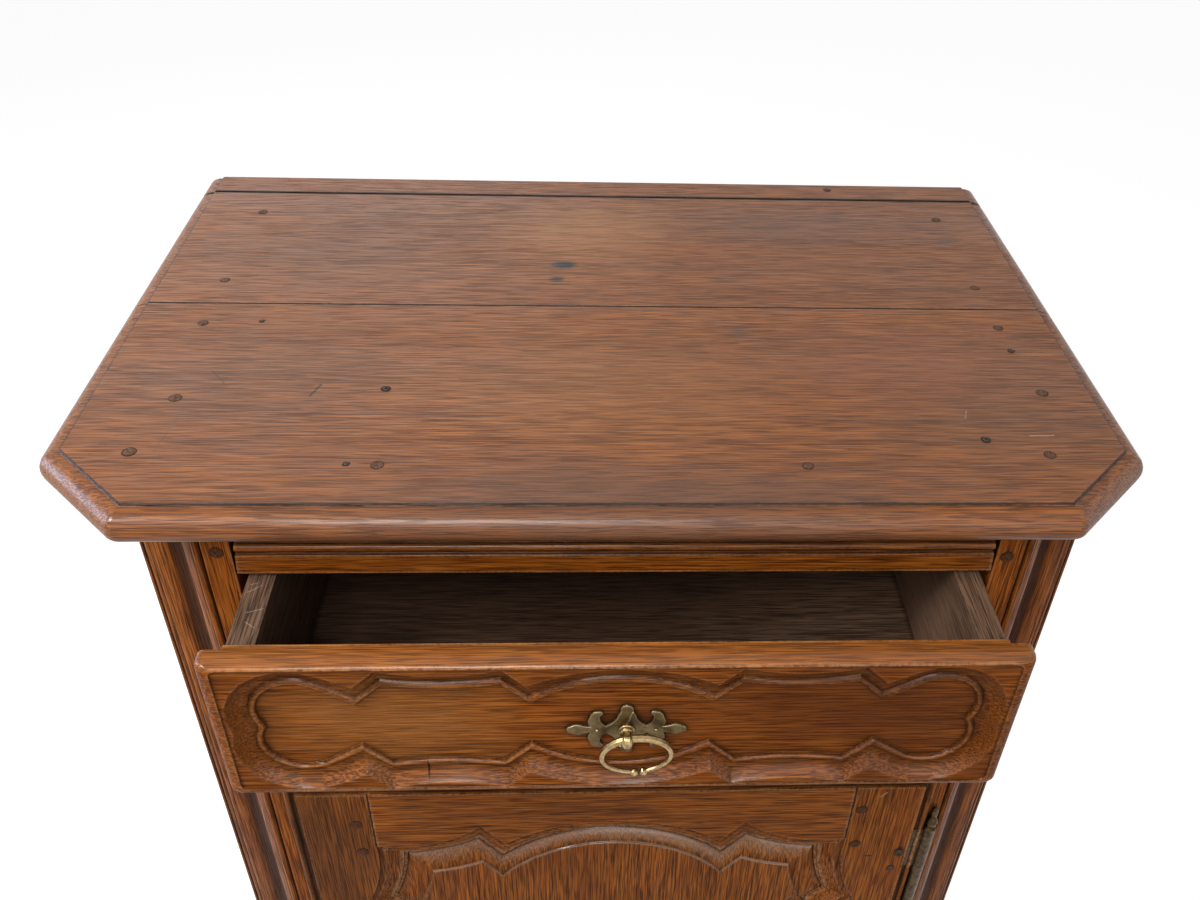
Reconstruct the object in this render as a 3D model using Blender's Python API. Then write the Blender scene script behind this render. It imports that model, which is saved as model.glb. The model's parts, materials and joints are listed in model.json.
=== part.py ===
"""An oak jam cupboard: an overlay drawer above a panelled door. Metres, +Z up, front to -Y."""

import math

import bmesh
import bpy
from mathutils import Matrix, Vector

# Clearances
GAP = 0.0003  # between pieces that touch
RUN = 0.0015  # between the drawer or the door and what it moves past
PIN_CLEARANCE = 0.0001  # between a hinge pin and its bore
REACH = 0.05  # how far a cutter runs on past the piece it cuts

# Case
HEIGHT = 1.050
CASE_WIDTH = 0.8252
CASE_DEPTH = 0.552
CASE_CANT = 0.080
POST_FLAT = 0.0286
POST_THICKNESS = 0.0544
POST_RETURN = 0.032
RAIL_THICKNESS = 0.026
TENON_THICKNESS = 0.008
TENON_LENGTH = 0.024
TENON_SHOULDER = 0.010
TOP_RAIL_HEIGHT = 0.0552
TOP_RAIL_WEDGE = 0.0047  # how far the top rail's shoulders have shrunk back at their upper end
DRAWER_OPENING = 0.1495
DRAWER_RAIL_HEIGHT = 0.122
BOTTOM_RAIL_HEIGHT = 0.070
FOOT_HEIGHT = 0.086
SIDE_THICKNESS = 0.024
SIDE_TOP_RAIL = 0.080
SIDE_BOTTOM_RAIL = 0.090
REAR_POST_WIDTH = 0.050
REAR_POST_DEPTH = 0.055
PANEL_TONGUE = 0.008
GROOVE_DEPTH = 0.008
PANEL_SHRINKAGE = 0.001  # play left to a panel's edge in its groove
SIDE_PANEL_BEVEL = 0.040
SIDE_PANEL_SLOPE = 0.0035
SIDE_PANEL_RAISE = 0.005
BACK_RAIL_THICKNESS = 0.024
BACK_RAIL_HEIGHT = 0.060
BACK_BOARD_THICKNESS = 0.012
BACK_BOARD_SET = 0.0015  # how far the back boards stand inside the rear posts' faces
BACK_BOARDS = 4
BACK_BOARD_GAP = 0.0008
FLOOR_THICKNESS = 0.018
FLOOR_FRONT_BOARD = 0.250
SHELF_TOP = 0.430
SHELF_THICKNESS = 0.020
CLEAT_WIDTH = 0.022
CLEAT_HEIGHT = 0.025
RUNNER_WIDTH = 0.068
RUNNER_HEIGHT = 0.022
RUNNER_TENON = 0.010
RUNNER_POST_RELIEF = 0.0010
GUIDE_WIDTH = 0.022
GUIDE_HEIGHT = 0.028
GUIDE_SETBACK = 0.080
KICKER_WIDTH = 0.028
KICKER_HEIGHT = 0.022

# Mouldings run along the front posts and the top rail
# (distance along the cant from its inner edge, depth, rise of the arc after it, steps in that arc)
CANT_REED_AND_COVE = [(0.0040, 0.0008, 0, 1), (0.0052, 0.0045, 0, 1), (0.0080, 0.0045, 0, 1),
                      (0.0096, 0.0022, 0.0030, 5), (0.0310, 0.0070, -0.0105, 9)]
# The same, but with the distance from the cant's outer edge
CANT_BEADS = [(0.0350, 0.0055, 0, 1), (0.0262, 0.0030, 0.0022, 4), (0.0166, 0.0030, 0, 1),
              (0.0158, 0.0052, 0, 1), (0.0146, 0.0052, 0, 1), (0.0138, 0.0030, 0.0021, 4),
              (0.0048, 0.0030, 0, 1), (0.0040, 0.0046, 0, 1), (0.0028, 0.0046, 0, 1),
              (0.0020, 0.0012, 0, 1)]
CANT_ARRIS = (0.0022, 4)  # rise and steps of the round between the reed and the cant
# (distance inside the cant's inner edge, depth) of the reed and its quirk on the post's flat
POST_REED = [(0.0040, 0.0006), (0.0052, 0.0028), (0.0062, 0.0)]
# (depth, height above the bead's lower edge, rise of the arc after it, steps in that arc)
TOP_RAIL_BEAD = [(0, -0.0046, 0, 1), (0.0026, -0.0038, 0, 1), (0.0026, -0.0020, 0, 1),
                 (0.0008, 0, 0.0022, 4), (0.0008, 0.0064, 0, 1), (0.0030, 0.0072, 0, 1),
                 (0.0030, 0.0106, 0, 1), (0, 0.0114, 0, 1)]
TOP_RAIL_BEAD_DROP = 0.0316  # from the rail's upper edge to the bead's lower edge

# Top
TOP_THICKNESS = 0.027
TOP_OVERHANG_LEFT = 0.0416
TOP_OVERHANG_RIGHT = 0.0172
TOP_OVERHANG_FRONT = 0.0294
TOP_OVERHANG_BACK = 0.0147
TOP_CANT = 0.0764
TOP_CORNER = 0.010  # radius to which handling has rounded the nosing's corners
TOP_NOSING = 0.017
TOP_FRONT_BOARD = 0.3108
TOP_REAR_STRIP = 0.038
TOP_SHRINKAGE = 0.0035
TOP_JOINT = 0.0008
# (share of the nosing's width, share of the thickness up from the underside)
TOP_EDGE = [(0.48, 0.0), (0.20, 0.07), (0.05, 0.20), (0.0, 0.38), (0.04, 0.56), (0.16, 0.73),
            (0.40, 0.86), (0.72, 0.92), (0.97, 0.93), (1.0, 1.0)]

# Drawer
DRAWER_OPEN = 0.0784  # how far it stands out at rest
DRAWER_SIDE_LIP = 0.011
DRAWER_LOWER_LIP = 0.006
LIP_THICKNESS = 0.019
DRAWER_INNER_FRONT = 0.004
DRAWER_CORNER = 0.006
NOSING_DEPTH = 0.010
NOSING_SIDE = 0.0115
NOSING_TOP = 0.0045
NOSING_BOTTOM = 0.008
NOSING_STEPS = 5
FIELD_STEP = 0.0015
BOX_CLEARANCE = 0.007
BOX_LENGTH = 0.450
BOX_SIDE_THICKNESS = 0.0222
BOX_SIDE_DROP = 0.0042  # how far the sides' upper edges lie under the front's
BOX_BACK_THICKNESS = 0.014
BOX_BACK_DROP = 0.006
BOX_BACK_DADO = 0.006
BOX_BACK_FROM_END = 0.008
BOX_BOTTOM_THICKNESS = 0.008
BOX_BOTTOM_GROOVE = 0.006
BOX_BOTTOM_RISE = 0.010
TAILS = 2
TAIL_LENGTH = 0.007
TAIL_WIDTH = 0.044
TAIL_FLARE = 0.004

# Cartouche carved into the drawer front
CARTOUCHE_SIDE_MARGIN = 0.0135
CARTOUCHE_TOP_MARGIN = 0.0075
CARTOUCHE_BOTTOM_MARGIN = 0.0075
LOBE_RADIUS = 0.052
LOBE_TURN = math.radians(118)
LOBE_STEPS = 8
LOBE_SHOULDER = 0.0472  # from the lobe's centre to the notch beside it
NOTCH_DROP = 0.018
BREAK_WIDTH = 0.018
ARCH_HALF_WIDTH = 0.073
SAG = 0.006
BREAK_CUT = 0.005  # how far the breaks close up towards the bead
# (inset from the arris, depth under the front's field)
CARTOUCHE_PROFILE = [(0.0, 0.0), (0.0015, 0.0018), (0.0050, 0.0054), (0.0095, 0.0079), (0.0150, 0.0090),
                     (0.0160, 0.0073), (0.0178, 0.0062), (0.0196, 0.0062), (0.0210, 0.0073),
                     (0.0216, 0.0098)]

# Handle
HANDLE_X = 0.0042
HANDLE_RISE = -0.0090  # of the plate's centre above the cartouche's
PLATE_THICKNESS = 0.002
# Half of the plate's upper edge from the finial to the side tip: across, up, rise of the edge after it
PLATE_EDGE = [(0.0, 0.0290, 0.0022), (0.0050, 0.0215, 0.0003), (0.0049, 0.0203, 0.0),
              (0.0066, 0.0182, -0.0022), (0.0163, 0.0042, -0.0010), (0.0208, 0.0120, -0.0012),
              (0.0190, 0.0180, 0.0014), (0.0215, 0.0218, 0.0024), (0.0296, 0.0140, 0.0018),
              (0.0286, 0.0036, -0.0008), (0.0370, 0.0058, 0.0010), (0.0446, 0.0036, 0.0012)]
PLATE_TIP = 0.0476
PLATE_ARC_STEPS = 3
POST_STEM_RADIUS = 0.0032
STEM_CLEARANCE = 0.0003
# (radius, distance out from the plate) of the turned post under the eye
POST_TURNING = [(0.0066, 0.0), (0.0066, 0.0010), (0.0048, 0.0018), (0.0047, 0.0024), (0.0060, 0.0034),
                (0.0059, 0.0042), (0.0046, 0.0050), (0.0040, 0.0058), (0.0040, 0.0066)]
EYE_OUT = 0.0098
EYE_OUTER = 0.0069
EYE_HOLE = 0.0050
EYE_WIDTH = 0.0076
NUT_RADIUS = 0.0075
NUT_THICKNESS = 0.004
NUT_SIDES = 6
STEM_PAST_NUT = 0.003
BAIL_HALF_WIDTH = 0.0278
BAIL_HALF_HEIGHT = 0.0209
BAIL_OFFSET = 0.0080  # the ring has slid to the right in the eye
BAIL_TILT = math.radians(7)
BAIL_WIRE = 0.0015
BAIL_CROWN = 0.0018  # added to the wire's radius at the top
BAIL_BALL = 0.0036
BAIL_OPENING = math.radians(14.5)  # half angle between the two balls' centres
BAIL_STEPS = 30
BALL_STEPS = 5

# Door
DOOR_SIDE_LIP = 0.008
DOOR_RAIL_LIP = 0.010
DOOR_FACE = 0.012
DOOR_BODY = 0.014
# (inset from the lip's edge, distance out from the case) of the moulded edge
DOOR_EDGE = [(0.0, 0.0060), (0.0009, 0.0081), (0.0026, 0.0092), (0.0045, 0.0094), (0.0062, 0.0086),
             (0.0072, 0.0072), (0.0084, 0.0066), (0.0114, 0.0066), (0.0122, DOOR_FACE)]
STILE_WIDTH = 0.0794
DOOR_RAIL_WIDTH = 0.096
DOOR_ARCH_HALF = 0.107
DOOR_ARCH_RISE = 0.0345  # above the notches
DOOR_NOTCH_RISE = 0.002  # of the notches above the ears
DOOR_BREAK_WIDTH = 0.0225
DOOR_BREAK_RISE = 0.029
DOOR_SAG = 0.013
SIDE_ARCH_HALF = 0.055
SIDE_ARCH_RISE = 0.010
SIDE_NOTCH = 0.003
SIDE_BREAK_WIDTH = 0.0215
SIDE_BREAK_RISE = 0.020
SIDE_SAG = 0.008
# (inset from the arris, depth under the door's face) of the frame's moulding
FRAME_PROFILE = [(0.0, 0.0), (0.0010, 0.0022), (0.0040, 0.0026), (0.0060, 0.0016), (0.0070, 0.0015),
                 (0.0098, 0.0040), (0.0135, 0.0070), (0.0178, 0.0095), (0.0225, 0.0103),
                 (0.0234, 0.0122), (0.0260, 0.0124)]
# (inset, depth) of the raised panel's moulding
PANEL_PROFILE = [(0.0268, 0.0130), (0.0280, 0.0113), (0.0306, 0.0095), (0.0345, 0.0080),
                 (0.0390, 0.0072), (0.0425, 0.0070), (0.0434, 0.0050)]
PANEL_EAR_CUT = (0.010, 0.009)  # how far the raised field's ears fall short of the opening's
PANEL_BREAK_CUT = 0.32  # share by which its breaks are shorter
GROOVE_FRONT = 0.0127  # depth of the panel groove's front wall
GROOVE_WIDTH = 0.0076
DOOR_TENON_LENGTH = 0.055
DOOR_TENON_INSET = 0.022
MITRE_RUN = 0.060

# Hinges
HINGE_OUT = 0.007
HINGE_RADIUS = 0.00625
HINGE_SIDE_GAP = 0.0002
HINGE_SPREAD = 0.125  # from the door's middle to the middle of each hinge
KNUCKLE = 0.071
FINIAL = 0.033
HINGE_PIN = 0.003
PIN_REACH = 0.050
LEAF_THICKNESS = 0.0022
LEAF_SHORTER = 0.004
DOOR_LEAF = 0.033
POST_LEAF = 0.043
LATHE_STEPS = 16
# (share of the finial's length from the barrel, share of the barrel's radius)
FINIAL_TURNING = [(0.0, 1.0), (0.08, 0.64), (0.18, 0.84), (0.29, 0.92), (0.40, 0.80), (0.53, 0.42),
                  (0.67, 0.56), (0.80, 0.58), (0.92, 0.38), (1.0, 0.0)]

# Lock
LOCK_WIDTH = 0.078
LOCK_HEIGHT = 0.070
LOCK_DEPTH = 0.017
LOCK_WALL = 0.0015
LOCK_INSET = 0.002  # from the door's rear edge
KEY_FROM_EDGE = 0.031  # from the lip's edge to the key
BOLT_HEIGHT = 0.016
BOLT_THICKNESS = 0.006
BOLT_OFF_DOOR = 0.005
BOLT_THROW = 0.018
BOLT_TAIL = 0.022  # beyond the key's axis
TALON_WIDTH = 0.0106
KEY_SHAFT = 0.003
KEY_BIT = 0.014
KEY_BIT_THICKNESS = 0.003
KEY_TURN = math.radians(80)
KEY_SHAFT_OUT = 0.014
BOW_LENGTH = 0.026
BOW_WIDTH = 0.024
BOW_WIRE = 0.0025
BOW_STEPS = 16
KEYHOLE_RADIUS = 0.0036
KEYHOLE_SLOT = 0.0042
KEYHOLE_REACH = 0.0155
ESCUTCHEON_HALF_WIDTH = 0.010
ESCUTCHEON_HALF_HEIGHT = 0.030
ESCUTCHEON_THICKNESS = 0.0016
ESCUTCHEON_WAIST = 0.004

# Levels and planes that follow from the sizes above
HALF = CASE_WIDTH / 2
UNDERSIDE = HEIGHT - TOP_THICKNESS
POST_TOP = UNDERSIDE - GAP
CANT_START = HALF - CASE_CANT
OPENING = CANT_START - POST_FLAT
DRAWER_TOP = POST_TOP - TOP_RAIL_HEIGHT
DRAWER_BED = DRAWER_TOP - DRAWER_OPENING
DOOR_TOP = DRAWER_BED - DRAWER_RAIL_HEIGHT
DOOR_BOTTOM = FOOT_HEIGHT + BOTTOM_RAIL_HEIGHT
DOOR_MIDDLE = (DOOR_TOP + DOOR_BOTTOM) / 2
POST_BACK = CASE_CANT + POST_RETURN
REAR_POST_FRONT = CASE_DEPTH - REAR_POST_DEPTH
SIDE_INNER = HALF - SIDE_THICKNESS
PANEL_X = HALF - SIDE_THICKNESS / 2
BOARD_BACK = CASE_DEPTH - BACK_BOARD_SET
BACK_RAIL_BACK = BOARD_BACK - BACK_BOARD_THICKNESS - GAP
BACK_RAIL_FRONT = BACK_RAIL_BACK - BACK_RAIL_THICKNESS
BOX_HALF = OPENING - BOX_CLEARANCE
BOX_INNER = BOX_HALF - BOX_SIDE_THICKNESS
FRONT_HALF = OPENING + DRAWER_SIDE_LIP
FRONT_TOP = DRAWER_TOP - RUN
FRONT_BOTTOM = DRAWER_BED - DRAWER_LOWER_LIP
FIELD_Y = -LIP_THICKNESS + FIELD_STEP
BOX_FLOOR = DRAWER_BED + GAP
BOX_TOP = FRONT_TOP - BOX_SIDE_DROP
BOX_END = DRAWER_INNER_FRONT + BOX_LENGTH
BOTTOM_LOW = BOX_FLOOR + BOX_BOTTOM_RISE
BOTTOM_HIGH = BOTTOM_LOW + BOX_BOTTOM_THICKNESS
CARTOUCHE_TOP = FRONT_TOP - CARTOUCHE_TOP_MARGIN
CARTOUCHE_BOTTOM = FRONT_BOTTOM + CARTOUCHE_BOTTOM_MARGIN
CARTOUCHE_Z = (CARTOUCHE_TOP + CARTOUCHE_BOTTOM) / 2
PLATE_BACK = FIELD_Y + CARTOUCHE_PROFILE[-1][1] - GAP
PLATE_FACE = PLATE_BACK - PLATE_THICKNESS
HANDLE_Z = CARTOUCHE_Z + HANDLE_RISE
EYE_Y = PLATE_FACE - GAP - EYE_OUT
DOOR_HALF = OPENING + DOOR_SIDE_LIP
DOOR_HIGH = DOOR_TOP + DOOR_RAIL_LIP
DOOR_LOW = DOOR_BOTTOM - DOOR_RAIL_LIP
JOINT_X = DOOR_HALF - STILE_WIDTH
EAR_Z = DOOR_HIGH - DOOR_RAIL_WIDTH
EAR_LOW = DOOR_LOW + DOOR_RAIL_WIDTH
HINGE_X = DOOR_HALF + HINGE_RADIUS + HINGE_SIDE_GAP
HINGE_Y = -HINGE_OUT
KEY_X = -(DOOR_HALF - KEY_FROM_EDGE)
LOCK_FRONT = DOOR_BODY + GAP
LOCK_LEFT = -(OPENING - RUN) + LOCK_INSET
BOLT_FRONT = DOOR_BODY + BOLT_OFF_DOOR
BOLT_LOW = DOOR_MIDDLE + KEY_BIT * math.cos(KEY_TURN / 2) - KEY_BIT_THICKNESS / 2
FRONT_MOST = -DRAWER_OPEN + EYE_Y - EYE_OUTER
BACK_MOST = CASE_DEPTH + TOP_OVERHANG_BACK
CENTRE_X = (TOP_OVERHANG_RIGHT - TOP_OVERHANG_LEFT) / 2
CENTRE_Y = (FRONT_MOST + BACK_MOST) / 2

# Which world axes an outline's two coordinates and its depth follow
PLAN = "xyz"
FRONT = "xzy"
SIDE = "yzx"

for stale in list(bpy.data.objects):
    bpy.data.objects.remove(stale, do_unlink=True)
parts = bpy.data.collections.new("jelly_cupboard")
cutters = bpy.data.collections.new("cutters")
cutters.hide_render = True
for collection in (parts, cutters):
    bpy.context.scene.collection.children.link(collection)


# Finishes
def finish(name, colour, roughness, metallic):
    material = bpy.data.materials.new(name)
    material.use_nodes = True
    shader = material.node_tree.nodes["Principled BSDF"]
    shader.inputs["Base Color"].default_value = (*colour, 1.0)
    shader.inputs["Roughness"].default_value = roughness
    shader.inputs["Metallic"].default_value = metallic
    return material


TOP_OAK = finish("waxed_oak_top", (0.17, 0.085, 0.045), 0.38, 0.0)
FRONT_OAK = finish("waxed_oak_front", (0.27, 0.115, 0.04), 0.35, 0.0)
RAW_OAK = finish("raw_oak", (0.24, 0.17, 0.11), 0.75, 0.0)
BRASS = finish("aged_brass", (0.42, 0.29, 0.12), 0.36, 1.0)
IRON = finish("dark_iron", (0.09, 0.085, 0.08), 0.55, 1.0)


# Outlines: clockwise corners (across, up, rise, steps), where rise bulges the edge after a corner outwards
def edge_of(start, end, rise):
    """The direction of a straight edge, or the circle of an arched one."""
    along = end - start
    if not rise:
        return {"line": along.normalized()}
    half = along.length / 2
    radius = (half * half + rise * rise) / (2 * abs(rise))
    left = Vector((-along.y, along.x)).normalized()
    turn = math.copysign(1, rise)
    return {"centre": (start + end) / 2 + left * (rise - turn * radius), "radius": radius, "turn": turn}


def heading(edge, point):
    """The direction of travel along an edge at a point on it."""
    if "line" in edge:
        return edge["line"]
    out = (point - edge["centre"]).normalized()
    return Vector((out.y, -out.x)) * edge["turn"]


def line_circle(point, direction, centre, radius, guess):
    foot = point + direction * (centre - point).dot(direction)
    reach = math.sqrt(max(0.0, radius**2 - (foot - centre).length_squared))
    return min((foot + direction * s * reach for s in (-1, 1)), key=lambda p: (p - guess).length)


def meet(first, second, corner, inset, guess):
    """Where two neighbouring edges cross once both are moved inwards."""
    circles = [edge for edge in (first, second) if "centre" in edge]
    if not circles:
        return guess
    radii = [edge["radius"] - edge["turn"] * inset for edge in circles]
    if len(circles) == 1:
        straight = second if "line" in second else first
        direction = straight["line"]
        moved = corner + Vector((direction.y, -direction.x)) * inset
        return line_circle(moved, direction, circles[0]["centre"], radii[0], guess)
    between = circles[1]["centre"] - circles[0]["centre"]
    distance = between.length
    share = (distance**2 + radii[0] ** 2 - radii[1] ** 2) / (2 * distance)
    foot = circles[0]["centre"] + between * (share / distance)
    across = Vector((-between.y, between.x)) / distance
    return line_circle(foot, across, circles[0]["centre"], radii[0], guess)


def outline(corners, inset=0.0):
    """Points round a closed outline moved inwards by inset. Each inset gives the same number of points."""
    places = [Vector(corner[:2]) for corner in corners]
    count = len(places)
    edges = [edge_of(places[i], places[(i + 1) % count], corners[i][2]) for i in range(count)]
    moved = []
    for i, place in enumerate(places):
        before = heading(edges[i - 1], place)
        after = heading(edges[i], place)
        normals = [Vector((way.y, -way.x)) for way in (before, after)]
        facing = normals[0].dot(normals[1])
        guess = place + (normals[0] + normals[1]) * inset / (1 + facing)
        smooth = facing > 0.9995
        moved.append(guess if smooth else meet(edges[i - 1], edges[i], place, inset, guess))
    points = []
    for i, (edge, start, end) in enumerate(zip(edges, moved, moved[1:] + moved[:1])):
        points.append(start)
        if "line" in edge:
            continue
        arms = [(p - edge["centre"]) for p in (start, end)]
        first, last = (math.atan2(arm.y, arm.x) for arm in arms)
        sweep = (last - first) * -edge["turn"] % math.tau * -edge["turn"]
        steps = corners[i][3]
        for step in range(1, steps):
            angle = first + sweep * step / steps
            points.append(edge["centre"] + Vector((math.cos(angle), math.sin(angle))) * arms[0].length)
    return points


def mirrored(half):
    """A clockwise outline from its right half, listed from the top of the mirror line to its foot."""
    left = []
    for here, after in reversed(list(zip(half, half[1:]))):
        left.append((-after[0], after[1], *here[2:]))
    return half[:-1] + left


def rectangle(half, low, high, inset=0.0):
    across, low, high = half - inset, low + inset, high - inset
    return [Vector(p) for p in ((-across, low), (-across, high), (across, high), (across, low))]


def rounded_rectangle(half, low, high, radius, steps):
    points = []
    for x, z, start in ((-1, low, 270), (-1, high, 180), (1, high, 90), (1, low, 0)):
        centre = Vector((x * (half - radius), z + radius if z == low else z - radius))
        for step in range(steps + 1):
            angle = math.radians(start - 90 * step / steps)
            points.append(centre + Vector((math.cos(angle), math.sin(angle))) * radius)
    return points


def eased(points, radius):
    """An outline with each corner rounded to a radius, by three points."""
    rounded = []
    for before, here, after in zip(points[-1:] + points[:-1], points, points[1:] + points[:1]):
        back, on = (before - here).normalized(), (after - here).normalized()
        half = back.angle(on) / 2
        inwards = (back + on).normalized()
        crest = here + inwards * radius * (1 / math.sin(half) - 1)
        reach = radius / math.tan(half)
        rounded += [here + back * reach, crest, here + on * reach]
    return rounded


# Shapes
def at_axes(point, depth, axes):
    values = dict(zip(axes, (*point[:2], depth)))
    return Vector([values[axis] for axis in "xyz"])


def loft(sections, axes):
    """A solid through matching rings of points, each ring at its own depth."""
    bm = bmesh.new()
    rings = []
    for points, depth in sections:
        ring = []
        for point in points:
            ring.append(bm.verts.new(at_axes(point, depth, axes)))
        rings.append(ring)
    for low, high in zip(rings, rings[1:]):
        for i in range(len(low)):
            bm.faces.new((low[i - 1], low[i], high[i], high[i - 1]))
    bm.faces.new(rings[0])
    bm.faces.new(rings[-1])
    bmesh.ops.recalc_face_normals(bm, faces=bm.faces)
    return bm


def prism(points, start, end, axes):
    bm = bmesh.new()
    verts = []
    for point in points:
        verts.append(bm.verts.new(at_axes(point, start, axes)))
    face = bm.faces.new(verts)
    raised = bmesh.ops.extrude_face_region(bm, geom=[face])["geom"]
    along = at_axes((0, 0), end - start, axes)
    bmesh.ops.translate(bm, vec=along, verts=[v for v in raised if isinstance(v, bmesh.types.BMVert)])
    bmesh.ops.recalc_face_normals(bm, faces=bm.faces)
    return bm


def box(x, y, z):
    bm = bmesh.new()
    middle = Vector([(a + b) / 2 for a, b in (x, y, z)])
    size = Matrix.Diagonal([abs(b - a) for a, b in (x, y, z)] + [1])
    bmesh.ops.create_cube(bm, size=1, matrix=Matrix.Translation(middle) @ size)
    return bm


def turned(profile, centre, axis, steps=LATHE_STEPS):
    """A lathe-turned solid: profile is (radius, distance along the axis)."""
    bm = bmesh.new()
    spine = Vector(axis)
    side = Vector((0, 0, 1)) if abs(spine.z) < 0.5 else Vector((1, 0, 0))
    places = [Vector(centre) + spine * along + side * radius for radius, along in profile]
    ends = [Vector(centre) + spine * profile[i][1] for i in (0, -1)]
    chain = [bm.verts.new(p) for p in [ends[0]] + places + [ends[1]]]
    edges = [bm.edges.new(pair) for pair in zip(chain, chain[1:]) if (pair[0].co - pair[1].co).length > 0]
    geometry = chain + edges
    bmesh.ops.spin(bm, geom=geometry, cent=centre, axis=spine, angle=math.tau, steps=steps, use_merge=True)
    bmesh.ops.remove_doubles(bm, verts=bm.verts, dist=1e-6)
    bmesh.ops.recalc_face_normals(bm, faces=bm.faces)
    return bm


def swept(path, closed=False):
    """A round wire along (point, radius) pairs."""
    curve = bpy.data.curves.new("wire", "CURVE")
    curve.dimensions = "3D"
    curve.bevel_depth = 1.0
    curve.bevel_resolution = 2
    curve.use_fill_caps = not closed
    spline = curve.splines.new("POLY")
    spline.points.add(len(path) - 1)
    spline.use_cyclic_u = closed
    for point, (place, radius) in zip(spline.points, path):
        point.co = (*place, 1)
        point.radius = radius
    guide = bpy.data.objects.new("wire", curve)
    mesh = bpy.data.meshes.new_from_object(guide)
    bpy.data.objects.remove(guide)
    bm = bmesh.new()
    bm.from_mesh(mesh)
    bmesh.ops.remove_doubles(bm, verts=bm.verts, dist=1e-6)
    bmesh.ops.recalc_face_normals(bm, faces=bm.faces)
    return bm


# Objects: every shape is drawn in the closed cupboard's own coordinates
def empty(name, location, parent=None):
    obj = bpy.data.objects.new(name, None)
    obj.location = location
    obj.parent = parent
    obj.empty_display_size = 0.05
    parts.objects.link(obj)
    return obj


case = empty("case", (-CENTRE_X, -CENTRE_Y, 0))
drawer = empty("drawer", (0, -DRAWER_OPEN, 0), case)
door = empty("door", (HINGE_X, HINGE_Y, 0), case)
DRAWN_FROM = {case: Vector((0, 0, 0)), drawer: Vector((0, 0, 0)), door: Vector((HINGE_X, HINGE_Y, 0))}


def place(name, bm, parent, pivot, collection):
    mesh = bpy.data.meshes.new(name)
    bm.to_mesh(mesh)
    bm.free()
    pivot = DRAWN_FROM[parent] if pivot is None else Vector(pivot)
    mesh.transform(Matrix.Translation(-pivot))
    obj = bpy.data.objects.new(name, mesh)
    obj.parent = parent
    obj.location = pivot - DRAWN_FROM[parent]
    collection.objects.link(obj)
    return obj


def piece(name, bm, material, parent=case, pivot=None, smooth=None):
    """A named sub-part. Edges turning less than smooth (radians) are shaded round."""
    obj = place(name, bm, parent, pivot, parts)
    obj.data.materials.append(material)
    if smooth:
        obj.data.shade_smooth()
        obj.data.set_sharp_from_angle(angle=smooth)
    return obj


def helper(name, bm, parent=case):
    obj = place(name, bm, parent, None, cutters)
    obj.hide_render = True
    obj.display_type = "WIRE"
    return obj


def combine(targets, tool, operation="DIFFERENCE"):
    for target in targets if isinstance(targets, list) else [targets]:
        boolean = target.modifiers.new(tool.name, "BOOLEAN")
        boolean.operation = operation
        boolean.solver = "EXACT"
        boolean.object = tool


def grown(span, by):
    low, high = sorted(span)
    return low - by, high + by


def tenon(rail, post, x, y, z, parent=case):
    """A tenon on the rail and its mortise in the post, larger by the clearance all round."""
    name = rail.name + "_into_" + post.name
    combine(rail, helper(name + "_tenon", box(x, y, z), parent), "UNION")
    mortise = box(grown(x, GAP), grown(y, GAP), grown(z, GAP))
    combine(post, helper(name + "_mortise", mortise, parent))


SMOOTH = math.radians(35)
SIDES = (("left", -1), ("right", 1))


# Top: one moulded slab divided into boards
def top_boards():
    left, right = -HALF - TOP_OVERHANG_LEFT, HALF + TOP_OVERHANG_RIGHT
    front, past = -TOP_OVERHANG_FRONT, BACK_MOST + REACH
    corners = [(left, past), (right, past), (right, front + TOP_CANT), (right - TOP_CANT, front),
               (left + TOP_CANT, front), (left, front + TOP_CANT)]
    corners = [(x, y, 0, 1) for x, y in corners]
    sections = []
    for inset, up in TOP_EDGE:
        ring = eased(outline(corners, TOP_NOSING * inset), TOP_CORNER * (1 - inset) + GAP)
        sections.append((ring, UNDERSIDE + TOP_THICKNESS * up))
    joint = front + TOP_FRONT_BOARD
    strip = BACK_MOST - TOP_REAR_STRIP
    spans = (("top_front_board", front - REACH, joint),
             ("top_back_board", joint + TOP_JOINT, strip - TOP_SHRINKAGE),
             ("top_rear_strip", strip, BACK_MOST))
    for name, start, end in spans:
        board = piece(name, loft(sections, PLAN), TOP_OAK, smooth=SMOOTH)
        region = box((left - REACH, right + REACH), (start, end), grown((UNDERSIDE, HEIGHT), REACH))
        combine(board, helper(name + "_region", region), "INTERSECT")


# Front posts: flat, quirk and reed, ogee, wide cove, two beads
def post_outline(side):
    face = math.sqrt(2)
    length = CASE_CANT * face
    moulding = CANT_REED_AND_COVE + [(length - s, d, rise, n) for s, d, rise, n in CANT_BEADS]
    inner = CANT_START - POST_THICKNESS * face
    corners = [(OPENING, 0, 0, 1), (OPENING, OPENING - inner, 0, 1), (POST_BACK + inner, POST_BACK, 0, 1),
               (HALF, POST_BACK, 0, 1), (HALF, CASE_CANT, 0, 1)]
    for i in reversed(range(len(moulding))):
        s, depth, _, _ = moulding[i]
        rise, steps = moulding[i - 1][2:] if i else CANT_ARRIS
        corners.append((CANT_START + (s - depth) / face, (s + depth) / face, rise, steps))
    corners += [(CANT_START - inside, depth, 0, 1) for inside, depth in POST_REED]
    return [Vector((side * p.x, p.y)) for p in outline(corners)]


def posts():
    made = {}
    for label, side in SIDES:
        shape = prism(post_outline(side), 0, POST_TOP, PLAN)
        front = piece("front_post_" + label, shape, FRONT_OAK, smooth=SMOOTH)
        across = (side * (HALF - REAR_POST_WIDTH), side * HALF)
        shape = box(across, (REAR_POST_FRONT, CASE_DEPTH), (0, POST_TOP))
        rear = piece("rear_post_" + label, shape, FRONT_OAK)
        made[label] = (front, rear)
    return made


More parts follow.
